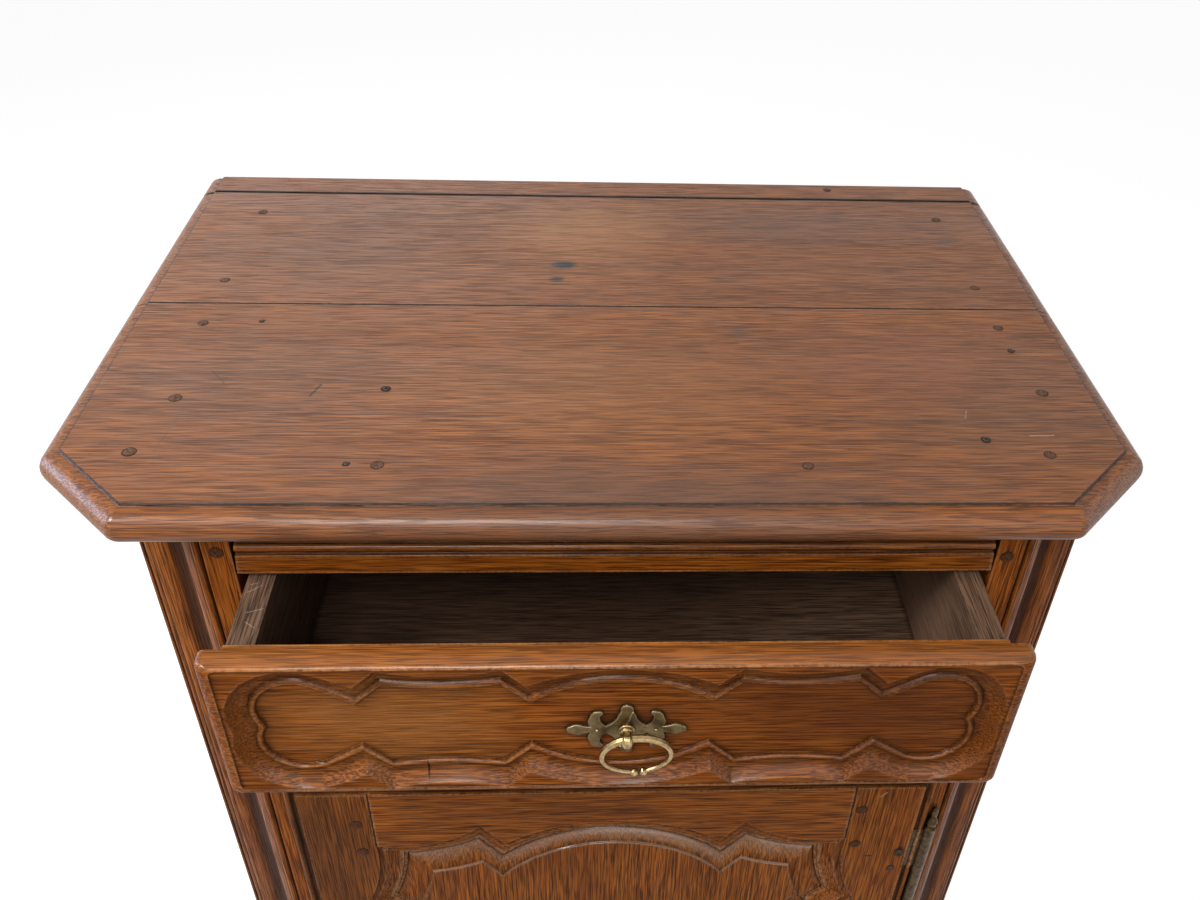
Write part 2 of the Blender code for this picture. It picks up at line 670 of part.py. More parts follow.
# Rails between the front posts
def top_rail_profile():
    low, high = DRAWER_TOP, POST_TOP
    bead = high - TOP_RAIL_BEAD_DROP
    moulding = [(depth, bead + up, rise, steps) for depth, up, rise, steps in TOP_RAIL_BEAD]
    return [(0, low, 0, 1), *moulding, (0, high, 0, 1), (RAIL_THICKNESS, high, 0, 1),
            (RAIL_THICKNESS, low, 0, 1)]


def front_rails(post):
    ends = OPENING - GAP
    shape = prism(outline(top_rail_profile()), -ends, ends, SIDE)
    for vert in shape.verts:
        share = (vert.co.z - DRAWER_TOP) / TOP_RAIL_HEIGHT
        vert.co.x -= math.copysign(TOP_RAIL_WEDGE * share, vert.co.x)
    spans = {"front_top_rail": (DRAWER_TOP, POST_TOP), "drawer_rail": (DOOR_TOP, DRAWER_BED),
             "front_bottom_rail": (FOOT_HEIGHT, DOOR_BOTTOM)}
    middle = RAIL_THICKNESS / 2
    made = {}
    for name, (low, high) in spans.items():
        plain = box((-ends, ends), (0, RAIL_THICKNESS), (low, high))
        made[name] = piece(name, shape if name == "front_top_rail" else plain, FRONT_OAK, smooth=SMOOTH)
        for label, side in SIDES:
            x = (side * (ends - 2 * TENON_LENGTH), side * (OPENING + TENON_LENGTH))
            y = (middle - TENON_THICKNESS / 2, middle + TENON_THICKNESS / 2)
            tenon(made[name], post[label][0], x, y, (low + TENON_SHOULDER, high - TENON_SHOULDER))
    return made


# Side frames and panels
def side_frames(post):
    low, high = FOOT_HEIGHT, POST_TOP
    panel_low, panel_high = low + SIDE_BOTTOM_RAIL, high - SIDE_TOP_RAIL
    y_front, y_back = POST_BACK + GAP, REAR_POST_FRONT - GAP
    into = GROOVE_DEPTH - PANEL_SHRINKAGE
    for label, side in SIDES:
        x = (side * SIDE_INNER, side * HALF)
        rails = [piece("side_top_rail_" + label, box(x, (y_front, y_back), (panel_high, high)), FRONT_OAK),
                 piece("side_bottom_rail_" + label, box(x, (y_front, y_back), (low, panel_low)), FRONT_OAK)]
        thick = (side * (PANEL_X - TENON_THICKNESS / 2), side * (PANEL_X + TENON_THICKNESS / 2))
        spans = ((panel_high + GROOVE_DEPTH + TENON_SHOULDER, high - TENON_SHOULDER),
                 (low + TENON_SHOULDER, panel_low - GROOVE_DEPTH - TENON_SHOULDER))
        for rail, z in zip(rails, spans):
            tenon(rail, post[label][0], thick, (POST_BACK - TENON_LENGTH, y_front + TENON_LENGTH), z)
            tenon(rail, post[label][1], thick, (y_back - TENON_LENGTH, REAR_POST_FRONT + TENON_LENGTH), z)
        groove = box(grown(thick, GAP), (POST_BACK - GROOVE_DEPTH, REAR_POST_FRONT + GROOVE_DEPTH),
                     (panel_low - GROOVE_DEPTH, panel_high + GROOVE_DEPTH))
        combine(rails + list(post[label]), helper("side_groove_" + label, groove))
        edge = [(POST_BACK - into, panel_low - into), (POST_BACK - into, panel_high + into),
                (REAR_POST_FRONT + into, panel_high + into), (REAR_POST_FRONT + into, panel_low - into)]
        edge = [(y, z, 0, 1) for y, z in edge]
        flat, field = GROOVE_DEPTH + PANEL_TONGUE, GROOVE_DEPTH + SIDE_PANEL_BEVEL
        outer = PANEL_X + PANEL_TONGUE / 2
        rings = ((0, PANEL_X - PANEL_TONGUE / 2), (0, outer), (flat, outer),
                 (field, outer + SIDE_PANEL_SLOPE), (field + GAP, outer + SIDE_PANEL_RAISE))
        sections = [(outline(edge, inset), side * depth) for inset, depth in rings]
        piece("side_panel_" + label, loft(sections, SIDE), FRONT_OAK)


# Back rails and boards
def back(post):
    inner = HALF - REAR_POST_WIDTH
    ends = inner - GAP
    y = (BACK_RAIL_FRONT, BACK_RAIL_BACK)
    middle = (BACK_RAIL_FRONT + BACK_RAIL_BACK) / 2
    spans = {"back_top_rail": (POST_TOP - SIDE_TOP_RAIL, POST_TOP),
             "back_middle_rail": (DRAWER_BED - BACK_RAIL_HEIGHT, DRAWER_BED),
             "back_bottom_rail": (FOOT_HEIGHT, DOOR_BOTTOM)}
    made = {}
    for name, (low, high) in spans.items():
        made[name] = piece(name, box((-ends, ends), y, (low, high)), RAW_OAK)
        for label, side in SIDES:
            x = (side * (ends - TENON_LENGTH), side * (inner + TENON_LENGTH))
            thick = (middle - TENON_THICKNESS / 2, middle + TENON_THICKNESS / 2)
            tenon(made[name], post[label][1], x, thick, (low + TENON_SHOULDER, high - TENON_SHOULDER))
    pitch = (2 * ends + BACK_BOARD_GAP) / BACK_BOARDS
    for i in range(BACK_BOARDS):
        start = -ends + i * pitch
        shape = box((start, start + pitch - BACK_BOARD_GAP), (BOARD_BACK - BACK_BOARD_THICKNESS, BOARD_BACK),
                    (FOOT_HEIGHT, POST_TOP - GAP))
        piece("back_board_%d" % (i + 1), shape, RAW_OAK)
    return made


# Floor, shelf and their cleats
def floor_and_shelf():
    front, rear = RAIL_THICKNESS + GAP, BACK_RAIL_FRONT - GAP
    wide, between_posts = SIDE_INNER - GAP, OPENING - GAP
    rear_inner = HALF - REAR_POST_WIDTH - GAP
    joint = front + FLOOR_FRONT_BOARD
    clear = POST_BACK + GAP
    slope = CANT_START - POST_THICKNESS * math.sqrt(2) - 2 * GAP
    half = [(between_posts, front), (between_posts, between_posts - slope), (clear + slope, clear),
            (wide, clear), (wide, joint)]
    z = (DOOR_BOTTOM - FLOOR_THICKNESS, DOOR_BOTTOM)
    points = half + [(-x, y) for x, y in reversed(half)]
    piece("floor_board_front", prism(points, *z, PLAN), RAW_OAK)
    half = [(wide, joint + TOP_JOINT), (wide, REAR_POST_FRONT - GAP), (rear_inner, REAR_POST_FRONT - GAP),
            (rear_inner, rear)]
    points = half + [(-x, y) for x, y in reversed(half)]
    piece("floor_board_back", prism(points, *z, PLAN), RAW_OAK)
    y = (clear, REAR_POST_FRONT - GAP)
    shelf_low = SHELF_TOP - SHELF_THICKNESS
    piece("inner_shelf", box((-wide, wide), y, (shelf_low, SHELF_TOP)), RAW_OAK)
    for label, side in SIDES:
        x = (side * (wide - CLEAT_WIDTH), side * wide)
        for name, top in (("floor_cleat_", z[0] - GAP), ("shelf_cleat_", shelf_low - GAP)):
            piece(name + label, box(x, y, (top - CLEAT_HEIGHT, top)), RAW_OAK)


# What the drawer runs on
def drawer_ways(rails, back_rails):
    front, rear = RAIL_THICKNESS + GAP, BACK_RAIL_FRONT - GAP
    slope = CANT_START - POST_THICKNESS * math.sqrt(2) - RUNNER_POST_RELIEF
    inner = OPENING - RUNNER_WIDTH / 2
    outer = inner + RUNNER_WIDTH
    beside = OPENING - RUNNER_POST_RELIEF
    guide_inner = BOX_HALF + RUN
    kicker_low = BOX_TOP + RUN
    for label, side in SIDES:
        points = [(inner, front), (inner, rear), (outer, rear), (outer, outer - slope),
                  (beside, beside - slope), (beside, front)]
        points = [(side * x, y) for x, y in points]
        top = DRAWER_BED
        runner = piece("drawer_runner_" + label, prism(points, top - RUNNER_HEIGHT, top, PLAN), RAW_OAK)
        x = (side * (inner + TENON_SHOULDER / 2), side * (beside - TENON_SHOULDER / 2))
        z = (top - RUNNER_HEIGHT + TENON_SHOULDER / 2, top - TENON_SHOULDER / 2)
        tenon(runner, rails["drawer_rail"], x, (front - RUNNER_TENON, front + RUNNER_TENON), z)
        tenon(runner, back_rails["back_middle_rail"], x, (rear - RUNNER_TENON, rear + RUNNER_TENON), z)
        x = (side * guide_inner, side * (guide_inner + GUIDE_WIDTH))
        guide = box(x, (GUIDE_SETBACK, rear), (top + GAP, top + GAP + GUIDE_HEIGHT))
        piece("drawer_guide_" + label, guide, RAW_OAK)
        x = (side * (BOX_HALF - KICKER_WIDTH), side * BOX_HALF)
        kicker = box(x, (front, rear), (kicker_low, kicker_low + KICKER_HEIGHT))
        piece("drawer_kicker_" + label, kicker, RAW_OAK)


# Drawer front with its carved cartouche
def cartouche(cut=0.0):
    """The carving's arris, or, as cut goes to 1, the line inside its bead."""
    closed = BREAK_CUT * cut
    half_width = FRONT_HALF - CARTOUCHE_SIDE_MARGIN
    half_height = (CARTOUCHE_TOP - CARTOUCHE_BOTTOM) / 2
    lobe_x, lobe_z = half_width - LOBE_RADIUS, half_height - LOBE_RADIUS
    cusp = lobe_x + math.sqrt(LOBE_RADIUS**2 - lobe_z**2)
    crest = (lobe_x + LOBE_RADIUS * math.cos(LOBE_TURN), lobe_z + LOBE_RADIUS * math.sin(LOBE_TURN))
    lobe_rise = LOBE_RADIUS * (1 - math.cos((LOBE_TURN + math.asin(lobe_z / LOBE_RADIUS)) / 2))
    notch = half_height - NOTCH_DROP
    arch = ARCH_HALF_WIDTH - closed
    arch_radius = (arch**2 + NOTCH_DROP**2) / (2 * NOTCH_DROP)
    arch_half_rise = arch_radius * (1 - math.cos(math.asin(arch / arch_radius) / 2))
    shoulder = lobe_x - LOBE_SHOULDER + closed
    upper = [(0, half_height, arch_half_rise, 5), (arch, notch, 0, 1),
             (arch + BREAK_WIDTH, half_height, -SAG, 6),
             (shoulder - BREAK_WIDTH, half_height, 0, 1), (shoulder, notch, 0, 1),
             (*crest, lobe_rise, LOBE_STEPS), (cusp, 0, lobe_rise, LOBE_STEPS)]
    lower = []
    for here, after in reversed(list(zip(upper, upper[1:]))):
        lower.append((after[0], -after[1], *here[2:]))
    half = [(x, z + CARTOUCHE_Z, rise, steps) for x, z, rise, steps in upper[:-1] + lower]
    return mirrored(half + [(0, CARTOUCHE_Z - half_height, 0, 1)])


def drawer_front():
    sections = []
    for depth in (DRAWER_INNER_FRONT, -LIP_THICKNESS + NOSING_DEPTH):
        sections.append((rounded_rectangle(FRONT_HALF, FRONT_BOTTOM, FRONT_TOP, DRAWER_CORNER, 3), depth))
    shares = [math.radians(90 * i / NOSING_STEPS) for i in range(1, NOSING_STEPS + 1)]
    rings = [(1 - math.cos(a), -LIP_THICKNESS + NOSING_DEPTH * (1 - math.sin(a))) for a in shares]
    for share, depth in rings + [(1 + GAP / NOSING_SIDE, FIELD_Y)]:
        ring = rounded_rectangle(FRONT_HALF - NOSING_SIDE * share, FRONT_BOTTOM + NOSING_BOTTOM * share,
                                 FRONT_TOP - NOSING_TOP * share, DRAWER_CORNER, 3)
        sections.append((ring, depth))
    front = piece("drawer_front", loft(sections, FRONT), FRONT_OAK, drawer, smooth=SMOOTH)
    for label, side in SIDES:
        across = (side * BOX_HALF, side * (FRONT_HALF + REACH))
        rabbet = box(across, (-GAP, REACH), (FRONT_BOTTOM - REACH, HEIGHT))
        combine(front, helper("drawer_rabbet_" + label, rabbet, drawer))
    across = grown((-FRONT_HALF, FRONT_HALF), REACH)
    low = box(across, (-GAP, REACH), (FRONT_BOTTOM - REACH, DRAWER_BED + RUN))
    combine(front, helper("drawer_rabbet_lower", low, drawer))
    die = [(outline(cartouche()), FIELD_Y - REACH)]
    whole = CARTOUCHE_PROFILE[-1][0]
    for inset, depth in CARTOUCHE_PROFILE:
        die.append((outline(cartouche(inset / whole), inset), FIELD_Y + depth))
    combine(front, helper("cartouche_die", loft(die, FRONT), drawer))
    return front


# Drawer box: lapped dovetails in front, back in dadoes, bottom in grooves
def drawer_box(front):
    tip, shoulder = DRAWER_INNER_FRONT - TAIL_LENGTH, DRAWER_INNER_FRONT + GAP
    pitch = (BOX_TOP - BOX_FLOOR) / TAILS
    bottom_y = (DRAWER_INNER_FRONT - BOX_BOTTOM_GROOVE, BOX_END - GAP)
    back_y = (BOX_END - BOX_BACK_FROM_END - BOX_BACK_THICKNESS, BOX_END - BOX_BACK_FROM_END)
    back_half = BOX_INNER + BOX_BACK_DADO
    sides = []
    for label, side in SIDES:
        x = (side * BOX_INNER, side * BOX_HALF)
        points = [(BOX_END, BOX_FLOOR), (BOX_END, BOX_TOP), (shoulder, BOX_TOP)]
        for i in reversed(range(TAILS)):
            middle = BOX_FLOOR + (i + 0.5) * pitch
            flare = TAIL_WIDTH / 2 + TAIL_FLARE
            tail = [(shoulder, middle + TAIL_WIDTH / 2), (tip, middle + flare), (tip, middle - flare),
                    (shoulder, middle - TAIL_WIDTH / 2)]
            points += tail
            socket = outline([(y, z, 0, 1) for y, z in reversed(tail)], -GAP)
            socket = [Vector((p.x if p.x < shoulder else shoulder + REACH, p.y)) for p in socket]
            shape = prism(socket, side * (BOX_INNER - GAP), side * (BOX_HALF + REACH), SIDE)
            combine(front, helper("socket_%s_%d" % (label, i + 1), shape, drawer))
        points.append((shoulder, BOX_FLOOR))
        board = piece("drawer_side_" + label, prism(points, *x, SIDE), RAW_OAK, drawer)
        groove = box((side * (BOX_INNER - REACH), side * (BOX_INNER + BOX_BOTTOM_GROOVE + GAP)),
                     (-REACH, BOX_END + REACH), grown((BOTTOM_LOW, BOTTOM_HIGH), GAP))
        combine(board, helper("side_bottom_groove_" + label, groove, drawer))
        dado = box((side * (BOX_INNER - REACH), side * (back_half + GAP)), grown(back_y, GAP),
                   (BOTTOM_LOW, BOX_TOP + REACH))
        combine(board, helper("side_back_dado_" + label, dado, drawer))
        sides.append(board)
    wide = BOX_INNER + BOX_BOTTOM_GROOVE
    height = grown((BOTTOM_LOW, BOTTOM_HIGH), GAP)
    groove = box(grown((-wide, wide), GAP), (bottom_y[0] - GAP, REACH), height)
    combine(front, helper("front_bottom_groove", groove, drawer))
    piece("drawer_bottom", box((-wide, wide), bottom_y, (BOTTOM_LOW, BOTTOM_HIGH)), RAW_OAK, drawer)
    rear = box((-back_half, back_half), back_y, (BOTTOM_HIGH + GAP, BOX_TOP - BOX_BACK_DROP))
    piece("drawer_back", rear, RAW_OAK, drawer)


# Handle
def plate_outline():
    right = [(x, z, rise, PLATE_ARC_STEPS) for x, z, rise in PLATE_EDGE]
    right.append((PLATE_TIP, 0, PLATE_EDGE[-1][2], PLATE_ARC_STEPS))
    for here, after in reversed(list(zip(right[:-1], right[1:]))):
        right.append((here[0], -here[1], 0, PLATE_ARC_STEPS))
        right[-2] = (*right[-2][:2], here[2], PLATE_ARC_STEPS)
    corners = mirrored(right)
    return [(x + HANDLE_X, z + HANDLE_Z, rise, steps) for x, z, rise, steps in corners]


def handle(front):
    corners = plate_outline()
    edge = PLATE_THICKNESS / 4
    rings = [(0, PLATE_BACK), (0, PLATE_FACE + edge), (edge, PLATE_FACE)]
    shape = loft([(outline(corners, i), y) for i, y in rings], FRONT)
    plate = piece("handle_backplate", shape, BRASS, drawer)
    foot = (HANDLE_X, PLATE_FACE - GAP, HANDLE_Z)
    nut_front = DRAWER_INNER_FRONT + GAP
    stem_end = nut_front + NUT_THICKNESS + STEM_PAST_NUT
    inward = stem_end - foot[1]
    profile = [(POST_STEM_RADIUS, -inward), (POST_STEM_RADIUS, 0.0)] + POST_TURNING
    post = piece("handle_post", turned(profile, foot, (0, -1, 0)), BRASS, drawer, smooth=SMOOTH)
    eye_at = (HANDLE_X, EYE_Y, HANDLE_Z)
    half, round_off = EYE_WIDTH / 2, EYE_WIDTH / 5
    rim = [(EYE_OUTER - round_off, -half), (EYE_OUTER, -half + round_off), (EYE_OUTER, half - round_off),
           (EYE_OUTER - round_off, half)]
    combine(post, helper("eye_strap", turned(rim, eye_at, (1, 0, 0)), drawer), "UNION")
    hole = [(EYE_HOLE, -half - REACH), (EYE_HOLE, half + REACH)]
    combine(post, helper("eye_hole", turned(hole, eye_at, (1, 0, 0)), drawer))
    bore = [(POST_STEM_RADIUS + STEM_CLEARANCE, -REACH), (POST_STEM_RADIUS + STEM_CLEARANCE, REACH)]
    bore = helper("stem_bore", turned(bore, foot, (0, 1, 0)), drawer)
    profile = [(NUT_RADIUS, 0), (NUT_RADIUS, NUT_THICKNESS)]
    shape = turned(profile, (HANDLE_X, nut_front, HANDLE_Z), (0, 1, 0), NUT_SIDES)
    nut = piece("handle_nut", shape, IRON, drawer)
    combine([plate, front, nut], bore)
    bail(Vector(eye_at))


def bail(eye):
    """An open oval ring through the eye: thickest at the top, ending in two balls."""
    tilt = Matrix.Rotation(-BAIL_TILT, 3, "Y")
    reach = BAIL_OFFSET / BAIL_HALF_WIDTH
    drop = BAIL_HALF_HEIGHT * math.sqrt(1 - reach * reach) - BAIL_OFFSET * math.tan(BAIL_TILT)
    centre = eye + Vector((BAIL_OFFSET, 0, -drop))

    def at(angle):
        flat = Vector((BAIL_HALF_WIDTH * math.sin(angle), 0, -BAIL_HALF_HEIGHT * math.cos(angle)))
        return centre + tilt @ flat

    path = []
    for i in range(BAIL_STEPS + 1):
        angle = BAIL_OPENING + (math.tau - 2 * BAIL_OPENING) * i / BAIL_STEPS
        path.append((at(angle), BAIL_WIRE + BAIL_CROWN * (1 - math.cos(angle)) / 2))
    for end in (0, -1):
        along = (path[end][0] - path[1 if end == 0 else -2][0]).normalized()
        neck = math.asin(path[end][1] / BAIL_BALL)
        ball = []
        for i in range(1, BALL_STEPS + 1):
            turn = neck + (math.pi - 0.1 - neck) * i / BALL_STEPS
            ball.append((path[end][0] + along * BAIL_BALL * (math.cos(neck) - math.cos(turn)),
                         BAIL_BALL * math.sin(turn)))
        path = ball[::-1] + path if end == 0 else path + ball
    piece("handle_bail", swept(path), BRASS, drawer, eye, smooth=math.radians(60))


# Door: a moulded slab divided into stiles and rails, opened by one die, with a raised panel
def door_opening(cut=0.0):
    """The arris round the opening, or, as cut goes to 1, the same arches with the panel field's ears."""
    ear = EAR_Z - DOOR_MIDDLE
    arch_radius = (DOOR_ARCH_HALF**2 + DOOR_ARCH_RISE**2) / (2 * DOOR_ARCH_RISE)
    half_rise = arch_radius * (1 - math.cos(math.asin(DOOR_ARCH_HALF / arch_radius) / 2))
    notch = ear + DOOR_NOTCH_RISE
    side_radius = (SIDE_ARCH_HALF**2 + SIDE_ARCH_RISE**2) / (2 * SIDE_ARCH_RISE)
    side_rise = side_radius * (1 - math.cos(math.asin(SIDE_ARCH_HALF / side_radius) / 2))
    side_notch = JOINT_X + SIDE_NOTCH
    left = 1 - PANEL_BREAK_CUT * cut
    upper = [(0, notch + DOOR_ARCH_RISE, half_rise, 6), (DOOR_ARCH_HALF, notch, 0, 1),
             (DOOR_ARCH_HALF + DOOR_BREAK_WIDTH * left, notch + DOOR_BREAK_RISE * left, -DOOR_SAG, 6),
             (JOINT_X + GAP - PANEL_EAR_CUT[0] * cut, ear - PANEL_EAR_CUT[1] * cut, -SIDE_SAG, 6),
             (side_notch + SIDE_BREAK_RISE * left, SIDE_ARCH_HALF + SIDE_BREAK_WIDTH * left, 0, 1),
             (side_notch, SIDE_ARCH_HALF, side_rise, 4), (side_notch + SIDE_ARCH_RISE, 0, side_rise, 4)]
    lower = []
    for here, after in reversed(list(zip(upper, upper[1:]))):
        lower.append((after[0], -after[1], *here[2:]))
    half = [(x, z + DOOR_MIDDLE, rise, steps) for x, z, rise, steps in upper[:-1] + lower]
    return mirrored(half + [(0, DOOR_MIDDLE - notch - DOOR_ARCH_RISE, 0, 1)])


def door_slab():
    body = rectangle(OPENING - RUN, DOOR_BOTTOM + RUN, DOOR_TOP - RUN)
    lip = rectangle(DOOR_HALF, DOOR_LOW, DOOR_HIGH)
    sections = [(body, DOOR_BODY), (body, -GAP), (lip, -GAP)]
    sections += [(rectangle(DOOR_HALF, DOOR_LOW, DOOR_HIGH, inset), -out) for inset, out in DOOR_EDGE]
    return loft(sections, FRONT)


def door_frame():
    """Stiles and rails, mitred through the moulding at the ears."""
    corners = door_opening()
    die = [(outline(corners), -DOOR_FACE - REACH)]
    die += [(outline(corners, inset), depth - DOOR_FACE) for inset, depth in FRAME_PROFILE]
    inset = FRAME_PROFILE[-1][0]
    floor, ceiling = GROOVE_FRONT - DOOR_FACE, GROOVE_FRONT + GROOVE_WIDTH - DOOR_FACE
    groove = inset - GROOVE_DEPTH
    die += [(outline(corners, i), y) for i, y in ((inset, floor), (groove, floor), (groove, ceiling),
                                                  (inset, ceiling), (inset, DOOR_BODY + REACH))]
    die = helper("door_opening_die", loft(die, FRONT), door)
    made = {}
    for label, side in SIDES:
        inner, past = JOINT_X, DOOR_HALF + REACH
        region = [(past, DOOR_LOW - REACH), (past, DOOR_HIGH + REACH), (inner, DOOR_HIGH + REACH),
                  (inner, EAR_Z), (inner - MITRE_RUN, EAR_Z - MITRE_RUN),
                  (inner - MITRE_RUN, EAR_LOW + MITRE_RUN), (inner, EAR_LOW), (inner, DOOR_LOW - REACH)]
        region = [(side * x, z) for x, z in region]
        stile = piece("door_stile_" + label, door_slab(), FRONT_OAK, door, smooth=SMOOTH)
        shape = prism(region, -REACH, REACH, FRONT)
        combine(stile, helper("stile_region_" + label, shape, door), "INTERSECT")
        combine(stile, die)
        made[label] = stile
    inner = JOINT_X - GAP
    ends = {"door_top_rail": (EAR_Z, DOOR_HIGH, -1), "door_bottom_rail": (EAR_LOW, DOOR_LOW, 1)}
    for name, (ear, edge, way) in ends.items():
        half = [(inner, edge - way * REACH), (inner, ear), (inner - MITRE_RUN, ear + way * MITRE_RUN)]
        region = half + [(-x, z) for x, z in reversed(half)]
        rail = piece(name, door_slab(), FRONT_OAK, door, smooth=SMOOTH)
        combine(rail, helper(name + "_region", prism(region, -REACH, REACH, FRONT), door), "INTERSECT")
        combine(rail, die)
        for label, side in SIDES:
            x = (side * (inner - DOOR_TENON_LENGTH / 2), side * (JOINT_X + DOOR_TENON_LENGTH))
            z = sorted((ear - way * DOOR_TENON_INSET, edge + way * DOOR_TENON_INSET))
            tenon(rail, made[label], x, (floor, floor + TENON_THICKNESS), z, door)
        made[name] = rail
    return made


def door_panel():
    corners = door_opening()
    tongue = FRAME_PROFILE[-1][0] - GROOVE_DEPTH + PANEL_SHRINKAGE
    front = PANEL_PROFILE[0][1]
    rear = GROOVE_FRONT + GROOVE_WIDTH - GAP
    sections = [(outline(corners, tongue), depth - DOOR_FACE) for depth in (rear, front)]
    first, last = PANEL_PROFILE[0][0], PANEL_PROFILE[-1][0]
    for inset, depth in PANEL_PROFILE:
        drawn = outline(door_opening((inset - first) / (last - first)), inset)
        sections.append((drawn, depth - DOOR_FACE))
    piece("door_panel", loft(sections, FRONT), FRONT_OAK, door, smooth=SMOOTH)


# Hinges: a turned barrel in two halves, each with a leaf let into the wood
def hinges(stile, post):
    axis = (HINGE_X, HINGE_Y, 0)
    half_leaf = LEAF_THICKNESS / 2
    levels = {"upper_hinge": DOOR_MIDDLE + HINGE_SPREAD, "lower_hinge": DOOR_MIDDLE - HINGE_SPREAD}
    for name, middle in levels.items():
        for label, way in (("door", 1), ("post", -1)):
            start = middle + way * GAP / 2
            profile = [(HINGE_RADIUS, start), (HINGE_RADIUS, middle + way * KNUCKLE)]
            profile += [(HINGE_RADIUS * r, middle + way * (KNUCKLE + FINIAL * t)) for t, r in FINIAL_TURNING]
            if label == "post":
                profile = [(HINGE_PIN, middle + PIN_REACH), (HINGE_PIN, start)] + profile
            half = turned(profile, axis, (0, 0, 1))
            z = (start + way * LEAF_SHORTER, middle + way * (KNUCKLE - LEAF_SHORTER))
            if label == "door":
                x = (HINGE_X - DOOR_LEAF, HINGE_X - HINGE_RADIUS / 2)
                y = (HINGE_Y - half_leaf, HINGE_Y + half_leaf)
                wood, parent = stile, door
            else:
                x = (HINGE_X - half_leaf, HINGE_X + half_leaf)
                y = (HINGE_Y + HINGE_RADIUS / 2, HINGE_Y + POST_LEAF)
                wood, parent = post, case
            full = "%s_%s_half" % (name, label)
            half = piece(full, half, BRASS, parent, smooth=SMOOTH)
            combine(half, helper(full + "_leaf", box(x, y, z), parent), "UNION")
            slot = helper(full + "_slot", box(grown(x, GAP), grown(y, GAP), grown(z, GAP)), parent)
            combine(wood, slot)
            if label == "door":
                bore = [(HINGE_PIN + PIN_CLEARANCE, middle - REACH),
                        (HINGE_PIN + PIN_CLEARANCE, middle + PIN_REACH + HINGE_PIN)]
                combine(half, helper(full + "_bore", turned(bore, axis, (0, 0, 1)), parent))


# Lock on the back of the left stile, with its key and escutcheon
def lock(stile, post):
    right, middle = LOCK_LEFT + LOCK_WIDTH, DOOR_MIDDLE
    back_face = LOCK_FRONT + LOCK_DEPTH
    z = (middle - LOCK_HEIGHT / 2, middle + LOCK_HEIGHT / 2)
    shell = piece("lock_case", box((LOCK_LEFT, right), (LOCK_FRONT, back_face), z), IRON, door)
    hollow = box((LOCK_LEFT + LOCK_WALL, right - LOCK_WALL), (LOCK_FRONT - REACH, back_face - LOCK_WALL),
                 (z[0] + LOCK_WALL, z[1] - LOCK_WALL))
    combine(shell, helper("lock_hollow", hollow, door))
    bolt_y = (BOLT_FRONT, BOLT_FRONT + BOLT_THICKNESS)
    bolt_z = (BOLT_LOW, BOLT_LOW + BOLT_HEIGHT)
    bolt_x = (LOCK_LEFT + GAP, KEY_X + BOLT_TAIL)
    slot = box((LOCK_LEFT - REACH, LOCK_LEFT + 2 * LOCK_WALL), grown(bolt_y, GAP), grown(bolt_z, GAP))
    combine(shell, helper("bolt_slot", slot, door))
    bolt = piece("lock_bolt", box(bolt_x, bolt_y, bolt_z), IRON, door, (bolt_x[0], bolt_y[0], bolt_z[0]))
    talon_x = KEY_X + KEY_BIT * math.sin(KEY_TURN / 2)
    talon_top = middle + KEY_BIT + KEY_BIT_THICKNESS / 2
    talon = box((talon_x - TALON_WIDTH / 2, talon_x + TALON_WIDTH / 2), grown(bolt_y, REACH),
                (BOLT_LOW - REACH, talon_top))
    combine(bolt, helper("bolt_talon", talon, door))
    keeper = box((-OPENING - BOLT_THROW - RUN, -OPENING + REACH / 2), grown(bolt_y, RUN), grown(bolt_z, RUN))
    combine(post, helper("bolt_mortise", keeper))
    centre = Vector((KEY_X, 0, middle))
    hole = turned([(KEYHOLE_RADIUS, -REACH), (KEYHOLE_RADIUS, REACH)], centre, (0, 1, 0))
    across = (KEY_X - KEYHOLE_SLOT / 2, KEY_X + KEYHOLE_SLOT / 2)
    reach = box(across, (-REACH, REACH), (middle - KEYHOLE_REACH, middle))
    plate_back = -DOOR_FACE - GAP
    wide, tall, waist = ESCUTCHEON_HALF_WIDTH, ESCUTCHEON_HALF_HEIGHT, ESCUTCHEON_WAIST
    half = [(0, middle + tall, waist, 4), (wide, middle + tall / 3, -waist / 2, 4),
            (wide, middle - tall / 3, waist, 4), (0, middle - tall, 0, 1)]
    corners = [(x + KEY_X, up, rise, steps) for x, up, rise, steps in mirrored(half)]
    rings = [(0, plate_back), (0, plate_back - ESCUTCHEON_THICKNESS / 2),
             (ESCUTCHEON_THICKNESS / 2, plate_back - ESCUTCHEON_THICKNESS)]
    plate = piece("escutcheon", loft([(outline(corners, i), y) for i, y in rings], FRONT), BRASS, door)
    for opening in (helper("keyhole_round", hole, door), helper("keyhole_slot", reach, door)):
        combine([stile, plate], opening)
    key(centre, plate_back - ESCUTCHEON_THICKNESS, back_face - 2 * LOCK_WALL, bolt_y)


